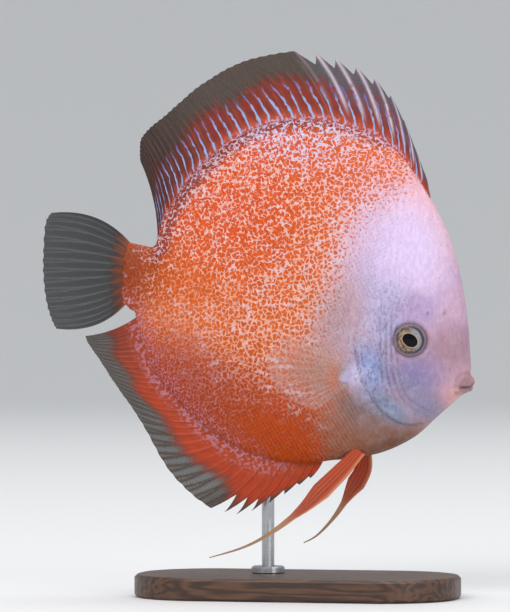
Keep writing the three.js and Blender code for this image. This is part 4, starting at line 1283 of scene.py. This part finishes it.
def make_scales(side, name, finish):
    """Each plate has a rim, a smaller ring inside it, a middle, and a point below that closes it"""
    q, v, room, size, turn = scale_roots()
    point, normal, along = skin_frame(q, v, side)
    up = np.cross(normal, along)
    behind, wide = np.cos(SCALE_ANGLES), np.sin(SCALE_ANGLES)
    rim_x = -behind * SCALE_LENGTH * np.where(behind > 0, 1, SCALE_FRONT)
    rim_y = wide * SCALE_WIDTH
    local_x = np.concatenate([rim_x, rim_x * SCALE_INNER, [-0.25, 0]])
    local_y = np.concatenate([rim_y, rim_y * SCALE_INNER, [0, 0]])
    tilt = SCALE_LIFT * np.clip(-local_x / SCALE_LENGTH, -1, 1)
    drop = np.concatenate([np.full(SCALE_RIM, 0.03), np.zeros(SCALE_RIM), [-0.02, 0.16]])
    lift = (0.04 + tilt) * room[:, None] - (1 - room[:, None]) * SCALE_SUNK - drop
    forward = local_x * size[:, None]
    upward = (local_y + turn[:, None] * local_x) * size[:, None]
    points = (point[:, None] + along[:, None] * forward[..., None]
              + up[:, None] * upward[..., None] + normal[:, None] * lift[..., None])
    count, per = points.shape[:2]
    faces = (np.arange(count)[:, None, None] * per + plate_faces()).reshape(-1, 3)
    u = q / LAST * 0.46 + (0.02 if side < 0 else 0.52)
    patch = np.stack([local_x / SCALE_LENGTH, local_y / SCALE_WIDTH], -1) * 0.0015
    uv = np.stack([u, v * 0.48 + 0.5], -1)[:, None] + patch
    piece = make_piece(f"scales_{name}", to_room(points.reshape(-1, 3)), [faces],
                       body_colours(np.repeat(point, per, axis=0)), uv.reshape(-1, 2), "OFBake")
    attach(piece, "root")
    piece.data.materials.append(finish)
    print(count, "scales on the", name)


scale_finish = make_skin_finish("scaly_skin", 0.15)
make_scales(-1, "right", scale_finish)
make_scales(1, "left", scale_finish)

# %% [markdown]
# ## Eyes
# A fish has no lids: the eye is a flattened globe in a ring of skin, with a dark outer ring, a
# brown iris with a painted pale grey highlight on its upper front, a gold line round the pupil and an
# oval pupil. Separate parts for these would show seams under the gloss, so one smooth lens carries
# all as rings of colour, and a clear coat gives it the wet cornea's gloss.

# %% Eyes
PUPIL_HALF = (2.9, 2.2)
PUPIL_LEAN = np.radians(32)
IRIS_RADIUS, IRIS_DIP, IRIS_DIP_WIDTH = 4.8, 0.18, 0.35
EYE_RINGS, EYE_COLUMNS = 59, 96


def make_eye(side, name, finish):
    """An oblate globe: radius times cos, depth times sin, turned to the skin's normal there"""
    q, v = locate(*EYE_AT)
    point, normal, along = (part[0] for part in skin_frame(q, v, side))
    up = np.cross(normal, along)
    centre = point - normal * EYE_SUNK
    rise, round_ = np.meshgrid(np.linspace(-np.pi / 2, np.pi / 2, EYE_RINGS + 2)[1:-1],
                               np.linspace(0, 2 * np.pi, EYE_COLUMNS + 1)[:-1], indexing="ij")
    flat = EYE_RADIUS * np.cos(rise)
    dip = IRIS_DIP * ridge(flat, IRIS_RADIUS, IRIS_DIP_WIDTH) * (rise > 0)
    local = np.stack([flat * np.cos(round_), flat * np.sin(round_), EYE_DEPTH * np.sin(rise) - dip], -1)
    local = np.concatenate([local.reshape(-1, 3), [[0, 0, -EYE_DEPTH], [0, 0, EYE_DEPTH]]])
    points = centre + local[:, :1] * along + local[:, 1:2] * up + local[:, 2:] * normal
    uv = local[:, :2] * [1, -side] / EYE_RADIUS / 2 + 0.5
    faces = [grid_faces(*rise.shape, wrap=True), end_fans(*rise.shape)]
    piece = make_piece(f"eye_ball_{name}", to_room(points), faces, None, uv)
    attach(piece, "root")
    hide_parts(f"eye_{name}")
    piece.data.materials.append(finish)


# %% Eye finish
def make_eye_finish():
    """Rings by distance from the eye's middle, the pupil an oval that leans forwards and down"""
    paint = Finish("eye_gloss")

    def length(vector):
        return paint.node("ShaderNodeVectorMath", {"operation": "LENGTH"}, {0: vector}, "Value")

    uv = paint.node("ShaderNodeUVMap", {"uv_map": "UVMap"}, {})
    centred = paint.node("ShaderNodeVectorMath", {"operation": "SUBTRACT"}, {0: uv, 1: (0.5, 0.5, 0)})
    place = paint.node("ShaderNodeVectorMath", {"operation": "SCALE"}, {
        0: centred, "Scale": EYE_RADIUS * 2})
    oval = paint.node("ShaderNodeMapping", {}, {
        "Vector": place, "Rotation": (0, 0, PUPIL_LEAN),
        "Scale": (1 / PUPIL_HALF[0], 1 / PUPIL_HALF[1], 1)})
    radius, pupil = length(place), length(oval)
    spot = paint.place()
    fleck = paint.noise(spot, 900.0, 3.0, 0.6)
    patch = paint.noise(spot, 300.0)
    forward, up = paint.split(place)
    # Painted highlight: the iris turns pale grey-blue towards its upper front
    upward = (forward + up + patch * 4.0).step(1.5, 4.5)
    rays = paint.mix(fleck.step(0.35, 0.65), opaque(86, 68, 62), opaque(160, 136, 114))
    iris = paint.mix(upward * 0.8, rays, opaque(138, 144, 152))
    ring = paint.mix((pupil + fleck * 0.5).step(1.24, 1.42), opaque(190, 156, 128), iris)
    dark_ring = (radius + patch * 0.8).step(4.3, 4.8) * (0.5 + upward * 0.45)
    ring = paint.mix(dark_ring, ring, opaque(60, 58, 70))
    ring = paint.mix((radius + fleck * 0.5).step(4.9, 5.7), ring, opaque(136, 118, 128))
    colour = paint.mix(pupil.step(0.94, 1.06), opaque(1, 2, 5), ring)
    return paint.surface(Base_Color=colour, Roughness=0.4, Specular_IOR_Level=0.06, Coat_Weight=0.22,
                         Coat_Roughness=0.04)


eye_finish = make_eye_finish()
make_eye(-1, "right", eye_finish)
make_eye(1, "left", eye_finish)

# %% [markdown]
# ## The stand
# A show stand is plain, so that the eye stays on the fish. Its solids already have their final
# shapes, so their own meshes are kept and only get finishes: dark oiled wood whose grain runs the
# length of the base, and brushed steel whose fine lines run round the rod.


# %% Stand finishes
def make_wood():
    """Rings are the sine of a noise that is stretched along the grain"""
    paint = Finish("oiled_wood")
    grain = paint.place(scale=(1.0, 9.0, 9.0))
    fine = paint.noise(grain, 160.0, 4.0, 0.6)
    rings = paint.maths("SINE", paint.noise(grain, 9.0, 3.0, 0.55) * 70.0)
    colour = paint.mix(rings.step(-0.9, 0.9) * 0.7, opaque(58, 36, 24), opaque(104, 68, 44))
    colour = paint.mix(fine.step(0.45, 0.75) * 0.5, colour, opaque(36, 22, 15))
    return paint.surface(Base_Color=colour, Roughness=0.38 + fine * 0.15, Coat_Weight=0.15,
                         Coat_Roughness=0.3, Normal=paint.bump(fine + rings * 0.2, 0.2, 0.0003))


def make_steel():
    """Fine lines are a noise that is squeezed along the rod"""
    paint = Finish("brushed_steel")
    lines = paint.noise(paint.place(scale=(1.0, 1.0, 60.0)), 120.0, 3.0, 0.6)
    colour = paint.mix(lines, opaque(150, 152, 156), opaque(206, 208, 210))
    return paint.surface(Base_Color=colour, Metallic=1.0, Roughness=0.24 + lines * 0.14,
                         Normal=paint.bump(lines, 0.12, 0.0001))


steel = make_steel()
stand_finishes = {"stand_base": make_wood(), "stand_rod": steel, "stand_washer": steel}
for node, finish in stand_finishes.items():
    bpy.data.objects[node].material_slots[0].material = finish
    print(node, "gets", finish.name)
